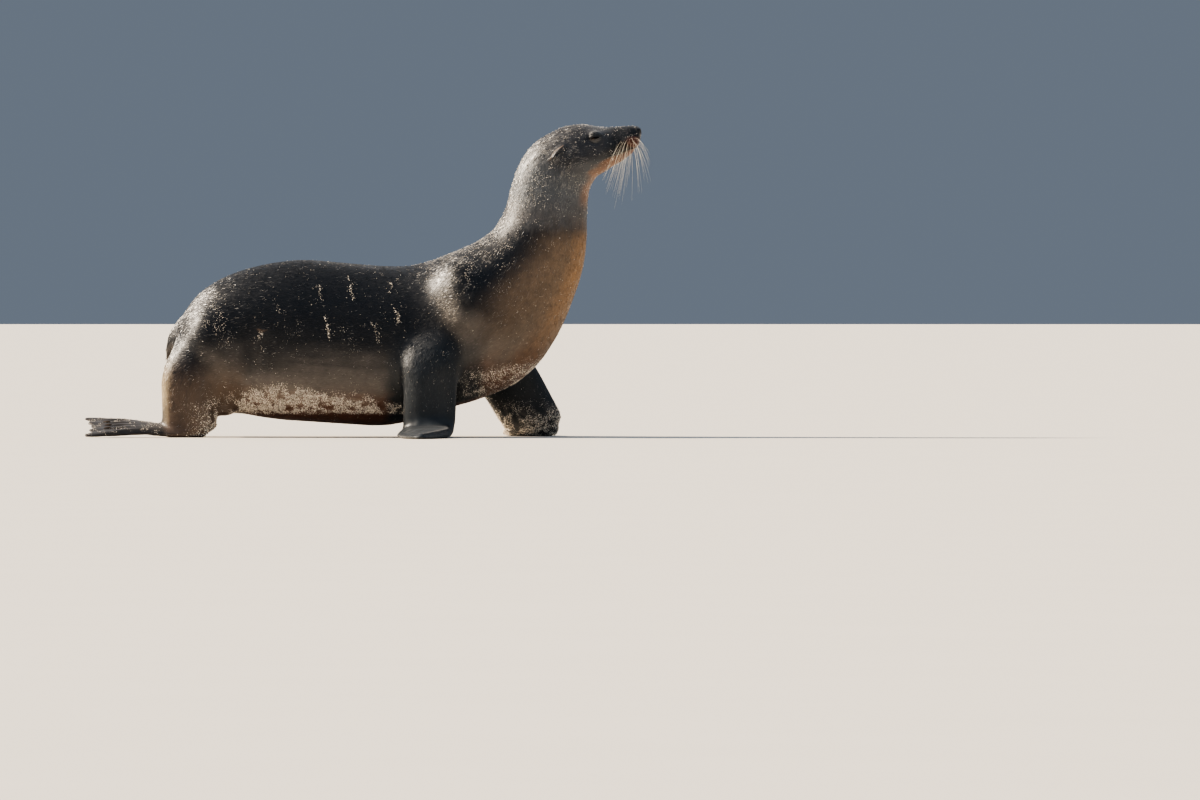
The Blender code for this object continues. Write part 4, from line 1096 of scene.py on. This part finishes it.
def wet_hide():
    """Skin under a wet coat: dark between the tufts, with the lie of flat hair, bare and folded in places."""
    material, tree = start_material("wet_short_fur")
    tint = add_node(tree, "Attribute", attribute_name="tint")
    bare = add_node(tree, "Attribute", attribute_name="bare").outputs["Fac"]
    hair = add_node(tree, "Attribute", attribute_name="hair").outputs["Vector"]
    place_on = surface_place(tree)
    # Hair strands are 0.1 mm wide: drawn as wet strands of about 1 mm by 12 mm, so that they show.
    strands = add_node(tree, "Mapping", {"Vector": hair, "Scale": STRANDS_PER_METRE})
    strand = add_node(tree, "TexNoise", {"Vector": strands, "Scale": 1.0, "Detail": 3.0, "Roughness": 0.6,
                                         "Distortion": 0.4})
    mottle = add_node(tree, "TexNoise", {"Vector": place_on, **MOTTLE})
    # Creases of bare hide, about 2.5 mm apart.
    folds = add_node(tree, "TexVoronoi", {"Vector": place_on, "Scale": FOLDS_PER_METRE, "Randomness": 1.0},
                     feature="DISTANCE_TO_EDGE")
    light = add_node(tree, "MapRange", {"Value": mottle, **MIDDLE, "To Min": 0.82, "To Max": 1.12})
    strand_light = add_node(tree, "MapRange", {"Value": strand, **MIDDLE, "To Min": 0.80, "To Max": 1.15})
    both = add_node(tree, "Math", {0: light, 1: strand_light}, operation="MULTIPLY")
    shade = add_node(tree, "VectorMath", {0: tint, "Scale": both}, operation="SCALE")
    fold_height = add_node(tree, "MapRange", {"Value": folds.outputs["Distance"], "From Min": 0.0,
                                              "From Max": 0.30, "To Min": 0.72})
    height = add_node(tree, "Mix", {"Factor": bare, "A": strand, "B": fold_height})
    bump = add_node(tree, "Bump", {"Height": height, "Strength": 0.35, "Distance": 0.0005})
    rough = add_node(tree, "MapRange", {"Value": mottle, **MIDDLE, "To Min": 0.38, "To Max": 0.55})
    surface = add_node(tree, "BsdfPrincipled", {
        "Base Color": shade, "Roughness": rough, "Normal": bump, "IOR": 1.5, "Sheen Weight": 0.15,
        "Sheen Roughness": 0.4})
    add_node(tree, "OutputMaterial", {"Surface": surface})
    return material


def wet_tufts():
    """Short hair clumped by water: dark, smooth along the hair, with a soft gloss."""
    material, tree = start_material("wet_guard_hair")
    tint = add_node(tree, "Attribute", attribute_name="tint")
    mottle = add_node(tree, "TexNoise", {"Vector": surface_place(tree), **MOTTLE})
    light = add_node(tree, "MapRange", {"Value": mottle, **MIDDLE, "To Min": 0.75, "To Max": 1.20})
    shade = add_node(tree, "VectorMath", {0: tint, "Scale": light}, operation="SCALE")
    rough = add_node(tree, "MapRange", {"Value": mottle, **MIDDLE, "To Min": 0.29, "To Max": 0.44})
    surface = add_node(tree, "BsdfPrincipled", {
        "Base Color": shade, "Roughness": rough, "IOR": 1.65, "Sheen Weight": 0.2, "Sheen Roughness": 0.4})
    add_node(tree, "OutputMaterial", {"Surface": surface})
    return material


# Linear colours of the eye, from its middle outwards.
PUPIL = (0.003, 0.003, 0.004)
PUPIL_EDGE = (0.004, 0.004, 0.005)
IRIS_EDGE = (0.004, 0.003, 0.003)
EYE_WHITE = (0.20, 0.16, 0.14)


def wet_eye(iris):
    """A dark brown iris and a wide pupil under a clear wet cornea."""
    material, tree = start_material("cornea_over_brown_iris")
    ring = add_node(tree, "Attribute", attribute_name="ring").outputs["Fac"]
    fibres = add_node(tree, "TexNoise", {"Vector": surface_place(tree), "Scale": EYE_FIBRES_PER_METRE,
                                         "Detail": 3.0})
    ramp = add_node(tree, "ValToRGB", {"Fac": ring})
    stops = ramp.color_ramp.elements
    stops[0].position, stops[0].color = 0.0, (*PUPIL, 1)
    stops[1].position, stops[1].color = 0.46, (*PUPIL_EDGE, 1)
    for position, shade in ((0.52, iris), (0.80, [v * 0.7 for v in iris]), (0.90, IRIS_EDGE),
                            (1.0, EYE_WHITE)):
        stop = stops.new(position)
        stop.color = (*shade, 1)
    grain = add_node(tree, "MapRange", {"Value": fibres, "To Min": 0.6, "To Max": 1.4})
    shade = add_node(tree, "VectorMath", {0: ramp, "Scale": grain}, operation="SCALE")
    surface = add_node(tree, "BsdfPrincipled", {"Base Color": shade, "Roughness": 0.12, "IOR": 1.38})
    add_node(tree, "OutputMaterial", {"Surface": surface})
    return material


def horn(horn_colour):
    """Worn claws: keratin, grown in fine layers, streaked and with a low gloss."""
    material, tree = start_material("worn_claw_horn")
    streaks = add_node(tree, "TexNoise", {"Vector": surface_place(tree), "Scale": CLAW_STREAKS_PER_METRE,
                                          "Detail": 4.0})
    light = add_node(tree, "MapRange", {"Value": streaks, **MIDDLE, "To Min": 0.6, "To Max": 1.25})
    shade = add_node(tree, "VectorMath", {0: (*horn_colour,), "Scale": light}, operation="SCALE")
    bump = add_node(tree, "Bump", {"Height": streaks, "Strength": 0.3, "Distance": 0.0002})
    surface = add_node(tree, "BsdfPrincipled", {"Base Color": shade, "Roughness": 0.45, "Normal": bump,
                                                "IOR": 1.55})
    add_node(tree, "OutputMaterial", {"Surface": surface})
    return material


def whisker_horn(root_colour, horn_colour):
    """Clear yellowish keratin: brown where it leaves the lip, pale further out."""
    material, tree = start_material("whisker_keratin")
    away = add_node(tree, "Attribute", attribute_name="away").outputs["Fac"]
    ramp = add_node(tree, "ValToRGB", {"Fac": away})
    stops = ramp.color_ramp.elements
    stops[0].position, stops[0].color = 0.05, (*root_colour, 1)
    stops[1].position, stops[1].color = 0.35, (*horn_colour, 1)
    surface = add_node(tree, "BsdfPrincipled", {"Base Color": ramp, "Roughness": 0.35, "IOR": 1.55})
    add_node(tree, "OutputMaterial", {"Surface": surface})
    return material


def coral_sand(sand_colour):
    """Dry broken coral and shell: matt grains, each of its own shade."""
    material, tree = start_material("coral_sand")
    own = add_node(tree, "Attribute", attribute_name="shade").outputs["Fac"]
    shade = add_node(tree, "VectorMath", {0: (*sand_colour,), "Scale": own}, operation="SCALE")
    surface = add_node(tree, "BsdfPrincipled", {"Base Color": shade, "Roughness": 0.8, "IOR": 1.5})
    add_node(tree, "OutputMaterial", {"Surface": surface})
    return material


def pale_floor(floor_colour):
    """A plain matt floor."""
    material, tree = start_material("matt_pale_floor")
    grain = add_node(tree, "TexNoise", {"Vector": surface_place(tree), "Scale": FLOOR_CLOUDS_PER_METRE,
                                        "Detail": 2.0})
    light = add_node(tree, "MapRange", {"Value": grain, "To Min": 0.98, "To Max": 1.02})
    shade = add_node(tree, "VectorMath", {0: (*floor_colour,), "Scale": light}, operation="SCALE")
    surface = add_node(tree, "BsdfPrincipled", {"Base Color": shade, "Roughness": 0.9, "IOR": 1.4})
    add_node(tree, "OutputMaterial", {"Surface": surface})
    return material


# ---------------------------------------------------------------- the skin's operator

LEAST_RELAXED = 0.15     # how much the grown skin's steps are smoothed away where it has fine shapes
BODY_ROUNDS = 60         # rounds of smoothing over the whole skin
FACE_ROUNDS = 6          # the same over the face, once its mesh is halved


class SEALION_OT_skin(bpy.types.Operator):
    """Makes the one skin that takes the place of all solids of flesh"""

    bl_idname = "sealion.skin"
    bl_label = "Skin"

    def execute(self, context):
        settings = context.scene.sea_lion_skin
        skin = grow_flesh(settings.cell)
        mesh = skin.data
        points = read(mesh)
        detail = detail_at(points)
        relax(mesh, LEAST_RELAXED + (1 - LEAST_RELAXED) * (1 - detail), BODY_ROUNDS)
        points, normals = read(mesh), normals_of(mesh)
        forms = body_forms(RIGHT) + body_forms(LEFT)
        points = shape_forms(points, normals, forms)
        sole = eased(-normals[:, 2], 0.5, 0.9) * (1 - eased(points[:, 2], 0.004, 0.012))
        points = points - normals * (settings.coat_depth * (1 - sole))[:, None]
        write_points(mesh, points)
        weigh(skin, "coarse", 1 - detail)
        apply_modifier(skin, "DECIMATE", ratio=settings.kept_share, vertex_group="coarse")
        skin.vertex_groups.clear()
        refine(skin, face_detail)
        refine(skin, fine_detail)
        mesh = skin.data
        relax(mesh, inside(read(mesh), face(LEFT, 0.04, 0.0, -0.01), (0.13, 0.12, 0.10)), FACE_ROUNDS)
        shape_limbs(mesh)
        shape_face(mesh)
        settle(mesh)
        apply_modifier(skin, "TRIANGULATE")
        skin.data.shade_smooth()
        unwrap(skin)
        keep_markings(skin, context.scene.sea_lion_coat)
        skin.data.materials.append(wet_hide())
        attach(skin, "root")
        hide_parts(*FLESH)
        return {"FINISHED"}


# ---------------------------------------------------------------- eyes, claws and whiskers

CORNEA_ANGLE = math.radians(52)         # from the middle of the pupil to the edge of the iris


class SEALION_OT_eyes(bpy.types.Operator):
    """Makes the two eyeballs, each with a cornea that stands off it"""

    bl_idname = "sealion.eyes"
    bl_label = "Eyes"

    def execute(self, context):
        settings = context.scene.sea_lion_eyes
        material = wet_eye(settings.iris)
        for side, word in SIDES.items():
            bpy.ops.object.select_all(action="DESELECT")
            gaze = Vector((0.35, side * 0.93, 0.10)).normalized()
            bpy.ops.mesh.primitive_uv_sphere_add(segments=48, ring_count=32, radius=EYE_RADIUS,
                                                 location=EYE[side],
                                                 rotation=gaze.to_track_quat("Z", "Y").to_euler())
            eyeball = context.active_object
            eyeball.name = eyeball.data.name = f"eyeball_{word}"
            bpy.ops.object.transform_apply(location=True, rotation=True, scale=True)
            offset = read(eyeball.data) - EYE[side]
            angle = np.arccos(np.clip(unit(offset) @ np.array(gaze), -1, 1))
            ring = np.clip(angle / CORNEA_ANGLE, 0, 1)
            lifted = offset * (1 + settings.bulge / EYE_RADIUS * (1 - eased(ring, 0, 1)))[:, None]
            write_points(eyeball.data, EYE[side] + lifted)
            store(eyeball.data, "ring", ring)
            eyeball.data.shade_smooth()
            eyeball.data.materials.append(material)
            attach(eyeball, "root")
            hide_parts(f"eye_{word}")
        return {"FINISHED"}


def claw_points(ball, name, way, settings):
    """Draws a ball out to the size of a claw's solid, tapered and bent down towards its tip."""
    beside, up = np.array([-way[1], way[0], 0.0]), np.array([0, 0, 1.0])
    solid = read(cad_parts[name].data)
    length, width, height = (np.ptp(solid @ axis) for axis in (way, beside, up))
    tip = ball[:, 2:] + 0.5
    thick = 1 - settings.taper * tip
    points = (place(name, 0.5, 0.5, 0.5) + ball[:, 2:] * length * way
              + ball[:, :1] * thick * width * beside)
    points[:, 2:] += ball[:, 1:2] * thick * height - settings.bend * tip**2
    points[:, 2] = np.maximum(points[:, 2], 0.0)
    return points


class SEALION_OT_claws(bpy.types.Operator):
    """Makes the small claws on the three middle toes of each hind flipper"""

    bl_idname = "sealion.claws"
    bl_label = "Claws"

    def execute(self, context):
        settings = context.scene.sea_lion_claws
        material = horn(settings.horn)
        for side, word in SIDES.items():
            for toe, line in zip((1, 2, 3), toe_lines(side)[1:4]):
                bpy.ops.object.select_all(action="DESELECT")
                bpy.ops.mesh.primitive_uv_sphere_add(segments=20, ring_count=14, radius=0.5)
                claw = context.active_object
                claw.name = claw.data.name = f"horn_{word}_{toe}"
                name = f"claw_{word}_{toe}"
                way = unit((line[2] - line[0]) * [1, 1, 0])
                write_points(claw.data, claw_points(read(claw.data), name, way, settings))
                claw.data.shade_smooth()
                claw.data.materials.append(material)
                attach(claw, "root")
                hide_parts(name)
        return {"FINISHED"}


def tube(path, radii, sides):
    """Points and triangles of a closed tapered tube along a path."""
    forward = unit(np.gradient(path, axis=0))
    across = unit(np.cross(forward, [0.0, 0.3, 1.0]))
    over = np.cross(forward, across)
    angles = np.arange(sides) * math.tau / sides
    rings = path[:, None] + radii[:, None, None] * (
        np.cos(angles)[None, :, None] * across[:, None] + np.sin(angles)[None, :, None] * over[:, None])
    points = np.vstack([rings.reshape(-1, 3), path[0], path[-1]])
    first, last = len(points) - 2, len(points) - 1
    faces = []
    for ring in range(len(path) - 1):
        for i in range(sides):
            a, b = ring * sides + i, ring * sides + (i + 1) % sides
            faces += [(a, b, b + sides), (a, b + sides, a + sides)]
    top = (len(path) - 1) * sides
    for i in range(sides):
        faces += [(first, (i + 1) % sides, i), (last, top + i, top + (i + 1) % sides)]
    return points, np.array(faces)


WHISKER_RINGS = 10
WHISKER_SIDES = 5
WHISKER_THICKNESS = 0.00060       # at the root of the longest
WHISKER_SHARES = np.linspace(0, 1, WHISKER_RINGS)


def grow_whisker(skin, side, back, low, longest, random):
    """A stiff hair that leaves the pad outwards, and bends down under its own weight and back.

    `back` and `low` say where on the pad its root is, as shares of the pad's length and height.
    """
    start = face(side, 0.095 - 0.048 * back, 0.15, 0.002 - 0.020 * low - 0.010 * back)
    hit, spot, normal, _ = skin.ray_cast(Vector(start), Vector((0, -side, 0)))
    if not hit:
        raise RuntimeError("a whisker finds no skin to grow from")
    spot, normal = np.array(spot), np.array(normal)
    long = 0.32 + 0.68 * math.sin(math.pi * min(0.15 + 0.75 * back, 0.9)) * (0.6 + 0.4 * low)
    length = longest * long * random.uniform(0.85, 1.0)
    way = [0.24 - 0.52 * back, side * 0.10, -0.25 - 0.3 * low]
    outward = unit(normal * 0.75 + way + random.normal(0, 0.10, 3))
    droop, sweep = random.uniform(0.60, 0.95), 0.04 + 0.32 * back
    path = spot - normal * 0.001 + outward * 0.72 * (length * WHISKER_SHARES)[:, None]
    path[:, 2] -= droop * length * WHISKER_SHARES**1.8
    path[:, 0] -= sweep * length * WHISKER_SHARES**1.8
    radii = WHISKER_THICKNESS / 2 * (1 - WHISKER_SHARES**1.5 * 0.82) * (0.6 + 0.4 * long)
    return tube(path, radii, WHISKER_SIDES)


class SEALION_OT_whiskers(bpy.types.Operator):
    """Grows the whiskers from both pads of the upper lip"""

    bl_idname = "sealion.whiskers"
    bl_label = "Whiskers"

    def execute(self, context):
        settings = context.scene.sea_lion_whiskers
        skin = bpy.data.objects[SKIN]
        material = whisker_horn(settings.root, settings.horn)
        for side, word in SIDES.items():
            random = np.random.default_rng(41 + side)
            points, faces, count = [], [], 0
            for row in range(settings.rows):
                for column in range(settings.columns - (row in (0, settings.rows - 1))):
                    back = (column + 0.5 * (row % 2) + random.uniform(-0.15, 0.15)) / settings.columns
                    low = (row + random.uniform(-0.15, 0.15)) / settings.rows
                    more_points, more_faces = grow_whisker(skin, side, back, low, settings.longest, random)
                    points.append(more_points)
                    faces.append(more_faces + count)
                    count += len(more_points)
            made = new_mesh_object(f"whiskers_{word}", np.vstack(points), np.vstack(faces))
            away = np.repeat(WHISKER_SHARES, WHISKER_SIDES).tolist() + [0, 1]
            store(made.data, "away", np.tile(away, len(points)))
            made.data.materials.append(material)
            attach(made, "root")
        return {"FINISHED"}


# ---------------------------------------------------------------- what lies on the skin: coat and sand

Roots = namedtuple("Roots", "spot normal lie length density uv")


def scatter(skin, density, random):
    """Roots spread over the skin, `density` being how many there are on a square metre at each point."""
    mesh = skin.data
    mesh.calc_loop_triangles()
    corners = read(mesh, "loop_triangles", "vertices", 3).astype(int)
    loops = read(mesh, "loop_triangles", "loops", 3).astype(int)
    points = read(mesh)
    edges = points[corners[:, 1:]] - points[corners[:, :1]]
    area = np.linalg.norm(np.cross(edges[:, 0], edges[:, 1]), axis=1) / 2
    expected = area * density[corners].mean(axis=1)
    count = int(expected.sum())
    chosen = np.searchsorted(np.cumsum(expected), random.uniform(0, expected.sum(), count))
    share = random.dirichlet((1, 1, 1), count)
    at_corners = corners[chosen]

    def mixed(values):
        return (values[at_corners] * share[..., None]).sum(axis=1)

    layer = np.empty(len(mesh.loops) * 2, np.float32)
    mesh.uv_layers[BAKE_MAP].uv.foreach_get("vector", layer)
    flat = layer.reshape(-1, 2).astype(float)
    uv = (flat[loops[chosen]] * share[..., None]).sum(axis=1)
    return Roots(mixed(points), unit(mixed(normals_of(mesh))), mixed(kept(mesh, "lie")),
                 mixed(kept(mesh, "length")[:, None])[:, 0], mixed(density[:, None])[:, 0], uv)


def highest_near(mesh, values):
    """The highest value at each point and the points that an edge joins to it."""
    ends = read(mesh, "edges", "vertices", 2).astype(int)
    highest = values.copy()
    np.maximum.at(highest, ends[:, 0], values[ends[:, 1]])
    np.maximum.at(highest, ends[:, 1], values[ends[:, 0]])
    return highest


def pick(roots, chosen):
    """Only the chosen roots."""
    return Roots(*(values[chosen] for values in roots))


PATCH = 0.003            # how wide the patch of a tuft or grain is on the map


def lay_out(mesh, faces, corner_places, uv):
    """Maps each small form as one patch at its root's place on the skin's own map."""
    layer = mesh.uv_layers.new(name=BAKE_MAP)
    per_form = len(corner_places)
    form, corner = np.divmod(faces.ravel(), per_form)
    places = uv[form] + corner_places[corner] * PATCH
    layer.uv.foreach_set("vector", places.astype(np.float32).ravel())


TUFT_FACES = np.array([(0, 1, 3), (0, 2, 1), (1, 2, 3), (3, 2, 0)])
TUFT_PLACES = np.array([(-0.5, -0.5), (0.5, -0.5), (0.0, 0.0), (0.0, 0.5)])
LIE_SPREAD = math.radians(11)           # how far tufts turn aside from the way the coat lies
TUFT_LIFT = 0.00019      # how far a tuft stands off the skin on the trunk
TUFT_SUNK = 0.0002       # how far its root lies under the skin
CLUMP_SIZE = 0.0048      # how wide the clumps are in which tufts dry together
TUFT_SHADES = 0.17       # how unlike one another tufts are in their shade
PALENESS = (0.25, 0.92)  # how pale a pale tip is at least and at most
SHEEN_SPREAD = 0.13      # how unevenly wet tufts catch the light
# Pale tips stand for sand and partly for painted glints of sun on wet hair.
MOST_PALE = 0.42         # share of tufts with pale tips where the coat is frosted most


def tufts(name, roots, tint, settings, random, material):
    """One object of tufts: each is a thin closed wedge that lies along the body and tapers to a point."""
    count = len(roots.spot)
    normal = roots.normal
    lie = roots.lie - normal * (roots.lie * normal).sum(axis=1, keepdims=True)
    lie = unit(lie)
    side = np.cross(normal, lie)
    turn = random.normal(0, LIE_SPREAD, count)[:, None]
    lie, side = lie * np.cos(turn) + side * np.sin(turn), side * np.cos(turn) - lie * np.sin(turn)
    length = (settings.length * roots.length * random.uniform(0.65, 1.35, count))[:, None]
    width = (settings.width * roots.length**0.7 * random.uniform(0.7, 1.3, count))[:, None]
    lift = (TUFT_LIFT * roots.length * random.uniform(0.4, 1.6, count))[:, None]
    points = np.stack([
        roots.spot - side * width / 2 - normal * TUFT_SUNK,
        roots.spot + side * width / 2 - normal * TUFT_SUNK,
        roots.spot + lie * length * 0.35 + normal * lift * 1.3,
        roots.spot + lie * length + normal * lift * 0.4,
    ], axis=1).reshape(-1, 3)
    points[:, 2] = np.maximum(points[:, 2], 0.0)
    faces = (TUFT_FACES[None] + 4 * np.arange(count)[:, None, None]).reshape(-1, 3)
    made = new_mesh_object(name, points, faces)
    pale_tips_and_glints = pale_tip_and_glint_share(roots.spot)
    clump = clouds(roots.spot, CLUMP_SIZE, 11.0) - 0.5
    own = (random.normal(1.0, TUFT_SHADES, count) * (1 + 1.8 * pale_tips_and_glints * clump)).clip(0.3, 1.9)[:, None]
    # Pale tips: sand on the tufts, and partly painted glints of sun on wet hair.
    is_pale = random.uniform(size=count) < MOST_PALE * pale_tips_and_glints * (1 + 2.2 * clump)
    pale = is_pale[:, None] * random.uniform(*PALENESS, (count, 1))
    tint = tint * own * (1 - pale) + np.array(settings.pale_tips_and_glints) * pale
    store(made.data, "tint", np.repeat(tint, 4, axis=0))
    leaning = normal + random.normal(0, SHEEN_SPREAD, (count, 3)) * (1 + 1.5 * pale_tips_and_glints)[:, None]
    across = np.array([-0.42, 0.42, 0.0, 0.0])[None, :, None] * side[:, None]
    shading = unit(leaning[:, None] + across).reshape(-1, 3)
    made.data.normals_split_custom_set_from_vertices(shading.tolist())
    lay_out(made.data, faces, TUFT_PLACES, roots.uv)
    made.data.materials.append(material)
    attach(made, "root")


MOST_TUFTS = 49000       # in one object, so that it stays under 200,000 triangles


class SEALION_OT_coat(bpy.types.Operator):
    """Covers the skin with short tufts that lie along the body"""

    bl_idname = "sealion.coat"
    bl_label = "Coat"

    def execute(self, context):
        settings = context.scene.sea_lion_coat
        skin = bpy.data.objects[SKIN]
        random = np.random.default_rng(7)
        bare, length = kept(skin.data, "bare"), kept(skin.data, "length")
        density = settings.density * (1 - bare) ** 2 / np.maximum(length, 0.3) ** 1.2
        up_to_floor = eased(read(skin.data)[:, 2], 0.001, 0.004)
        roots = scatter(skin, density * up_to_floor, random)
        tint, _ = coat_colours_and_painted_light(roots.spot, roots.normal, settings)
        tint = dusted(tint, roots.spot, roots.normal, settings)
        material = wet_tufts()
        order = np.argsort(roots.spot[:, 0], kind="stable")
        parts = np.array_split(order, math.ceil(len(order) / MOST_TUFTS))
        for number, part in enumerate(parts, 1):
            tufts(f"coat_{number}", pick(roots, part), tint[part], settings, random, material)
        return {"FINISHED"}


THINNEST = 0.40          # the sand that is reckoned with where the skin's corners have none
MOST_GRAINS = 24500      # in one object, so that it stays under 200,000 triangles
GRAIN_SIZES = 0.30       # how unlike grains are in size
GRAIN_SHADES = 0.22      # and in shade
GRAIN_CORNERS = np.array([(1, 0, 0), (-1, 0, 0), (0, 1, 0), (0, -1, 0), (0, 0, 1), (0, 0, -1)], float)
GRAIN_FACES = np.array([(0, 2, 4), (2, 1, 4), (1, 3, 4), (3, 0, 4),
                        (2, 0, 5), (1, 2, 5), (3, 1, 5), (0, 3, 5)])
GRAIN_PLACES = np.array([(0.5, 0.0), (-0.5, 0.0), (0.0, 0.5), (0.0, -0.5), (0.1, 0.1), (-0.1, -0.1)])


class SEALION_OT_sand(bpy.types.Operator):
    """Sticks grains of coral sand to the wet coat"""

    bl_idname = "sealion.sand"
    bl_label = "Sand"

    def execute(self, context):
        settings = context.scene.sea_lion_sand
        skin = bpy.data.objects[SKIN]
        random = np.random.default_rng(23)
        mesh = skin.data
        likely = kept(mesh, "sand")
        for _ in range(2):
            likely = highest_near(mesh, likely)
        likely = np.maximum(likely, THINNEST) * eased(read(mesh)[:, 2], 0.002, 0.006)
        roots = scatter(skin, likely * settings.density, random)
        sand = sand_share(roots.spot, roots.normal)
        sticks = random.uniform(size=len(sand)) * roots.density < sand * settings.density
        roots, sand = pick(roots, sticks), sand[sticks]
        count = len(sand)
        fine = 0.62 + 0.38 * eased(sand, 0.05, 0.5)
        size = settings.size / 2 * fine * random.lognormal(0, GRAIN_SIZES, count).clip(0.4, 2.2)
        turns = random.normal(size=(count, 3, 3))
        first = unit(turns[:, 0])
        second = unit(np.cross(first, turns[:, 1]))
        axes = np.stack([first, second, np.cross(first, second)], axis=1)
        reach = random.uniform(0.60, 1.25, (count, 6, 1))
        shape = np.matmul(GRAIN_CORNERS[None] * reach, axes) * size[:, None, None]
        centre = roots.spot + roots.normal * (size * 0.5 + 0.0005)[:, None]
        shade = random.normal(1.0, GRAIN_SHADES, count).clip(0.35, 1.3)
        material = coral_sand(settings.colour)
        parts = np.array_split(np.arange(count), math.ceil(count / MOST_GRAINS))
        for number, part in enumerate(parts, 1):
            points = (centre[part, None] + shape[part]).reshape(-1, 3)
            faces = (GRAIN_FACES[None] + 6 * np.arange(len(part))[:, None, None]).reshape(-1, 3)
            grains = new_mesh_object(f"sand_grains_{number}", points, faces, smooth=False)
            store(grains.data, "shade", np.repeat(shade[part], 6))
            lay_out(grains.data, faces, GRAIN_PLACES, roots.uv[part])
            grains.data.materials.append(material)
            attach(grains, "root")
        return {"FINISHED"}


# ---------------------------------------------------------------- stage

FLOOR_RADIUS = 60.0
CAMERA_AWAY = 30.0
CAMERA_ABREAST = 0.925   # where the camera stands along the animal, as a share of its length
CAMERA_HEIGHT = 0.54     # how high it stands, as a share of the animal's height
AIM_HEIGHT = 0.118       # how high it aims
LENS = 400               # a long lens
SENSOR = 36              # the width of the sensor behind it, in millimetres like the lens
SUN_WAY = Vector((-0.80, 0.13, 0.55))             # from the animal to the sun, which stands behind it
SUN_WIDTH = math.radians(6)
SUN_COLOUR = linear("#fff1de")
SKY_LOW, SKY_HIGH = linear("#747d89"), linear("#b4c3d6")


class SEALION_OT_stage(bpy.types.Operator):
    """Sets up the camera, the floor, the sun and the sky"""

    bl_idname = "sealion.stage"
    bl_label = "Stage"

    def execute(self, context):
        settings = context.scene.sea_lion_stage
        low, high = (np.array(corner) for corner in CAD_BOX)
        ahead = low[0] + CAMERA_ABREAST * (high[0] - low[0])
        bpy.ops.object.select_all(action="DESELECT")
        eye_point = Vector((ahead, -CAMERA_AWAY, CAMERA_HEIGHT * high[2]))
        target = Vector((ahead, 0.0, AIM_HEIGHT * high[2]))
        bpy.ops.object.camera_add(location=eye_point)
        camera = context.active_object
        camera.rotation_euler = (target - eye_point).to_track_quat("-Z", "Y").to_euler()
        camera.data.lens = LENS
        camera.data.sensor_width = SENSOR
        camera.data.clip_end = 150
        context.scene.camera = camera
        bpy.ops.mesh.primitive_circle_add(vertices=96, radius=FLOOR_RADIUS, fill_type="NGON")
        floor = context.active_object
        floor.name = "floor"
        floor.data.materials.append(pale_floor(settings.floor))
        bpy.ops.object.light_add(type="SUN")
        sun = context.active_object
        sun.name = "sun"
        sun.data.energy = settings.sun
        sun.data.angle = SUN_WIDTH
        sun.data.color = SUN_COLOUR
        sun.rotation_euler = SUN_WAY.to_track_quat("Z", "Y").to_euler()
        context.scene.view_settings.view_transform = "AgX"
        context.scene.view_settings.look = "AgX - High Contrast"
        world = bpy.data.worlds.new("soft_sky")
        context.scene.world = world
        world.use_nodes = True
        tree = world.node_tree
        tree.nodes.clear()
        direction = add_node(tree, "TexCoord").outputs["Generated"]
        upward = add_node(tree, "SeparateXYZ", {"Vector": direction})
        ramp = add_node(tree, "ValToRGB", {"Fac": upward.outputs["Z"]})
        stops = ramp.color_ramp.elements
        stops[0].position, stops[0].color = 0.04, (*SKY_LOW, 1)
        stops[1].position, stops[1].color = 0.45, (*SKY_HIGH, 1)
        background = add_node(tree, "Background", {"Color": ramp, "Strength": settings.sky})
        add_node(tree, "OutputWorld", {"Surface": background})
        return {"FINISHED"}


# ---------------------------------------------------------------- add-on

GROUPS = {
    "sea_lion_stage": (StageSettings, "sealion.stage"),
    "sea_lion_skin": (SkinSettings, "sealion.skin"),
    "sea_lion_eyes": (EyeSettings, "sealion.eyes"),
    "sea_lion_claws": (ClawSettings, "sealion.claws"),
    "sea_lion_coat": (CoatSettings, "sealion.coat"),
    "sea_lion_whiskers": (WhiskerSettings, "sealion.whiskers"),
    "sea_lion_sand": (SandSettings, "sealion.sand"),
}
OPERATORS = [SEALION_OT_stage, SEALION_OT_skin, SEALION_OT_eyes, SEALION_OT_claws, SEALION_OT_coat,
             SEALION_OT_whiskers, SEALION_OT_sand]


class SEALION_PT_panel(bpy.types.Panel):
    """Lists the settings and the steps of the sea lion"""

    bl_label = "Sea Lion"
    bl_idname = "SEALION_PT_panel"
    bl_space_type = "VIEW_3D"
    bl_region_type = "UI"
    bl_category = "Sea Lion"

    def draw(self, context):
        for name, (_, operator) in GROUPS.items():
            box = self.layout.box()
            box.operator(operator)
            settings = getattr(context.scene, name)
            for prop in settings.bl_rna.properties:
                if prop.identifier not in ("rna_type", "name"):
                    box.prop(settings, prop.identifier)


def register():
    """Makes the settings, the steps and the panel known to Blender."""
    for name, (group, _) in GROUPS.items():
        bpy.utils.register_class(group)
        setattr(bpy.types.Scene, name, PointerProperty(type=group))
    for operator in OPERATORS:
        bpy.utils.register_class(operator)
    bpy.utils.register_class(SEALION_PT_panel)


def unregister():
    """Takes them away again."""
    bpy.utils.unregister_class(SEALION_PT_panel)
    for operator in reversed(OPERATORS):
        bpy.utils.unregister_class(operator)
    for name, (group, _) in reversed(GROUPS.items()):
        delattr(bpy.types.Scene, name)
        bpy.utils.unregister_class(group)


def main():
    """Makes the sea lion and its stage."""
    register()
    bpy.ops.sealion.stage()
    bpy.ops.sealion.skin()
    bpy.ops.sealion.eyes()
    bpy.ops.sealion.claws()
    bpy.ops.sealion.coat()
    bpy.ops.sealion.whiskers()
    bpy.ops.sealion.sand()


if __name__ == "__main__":
    main()
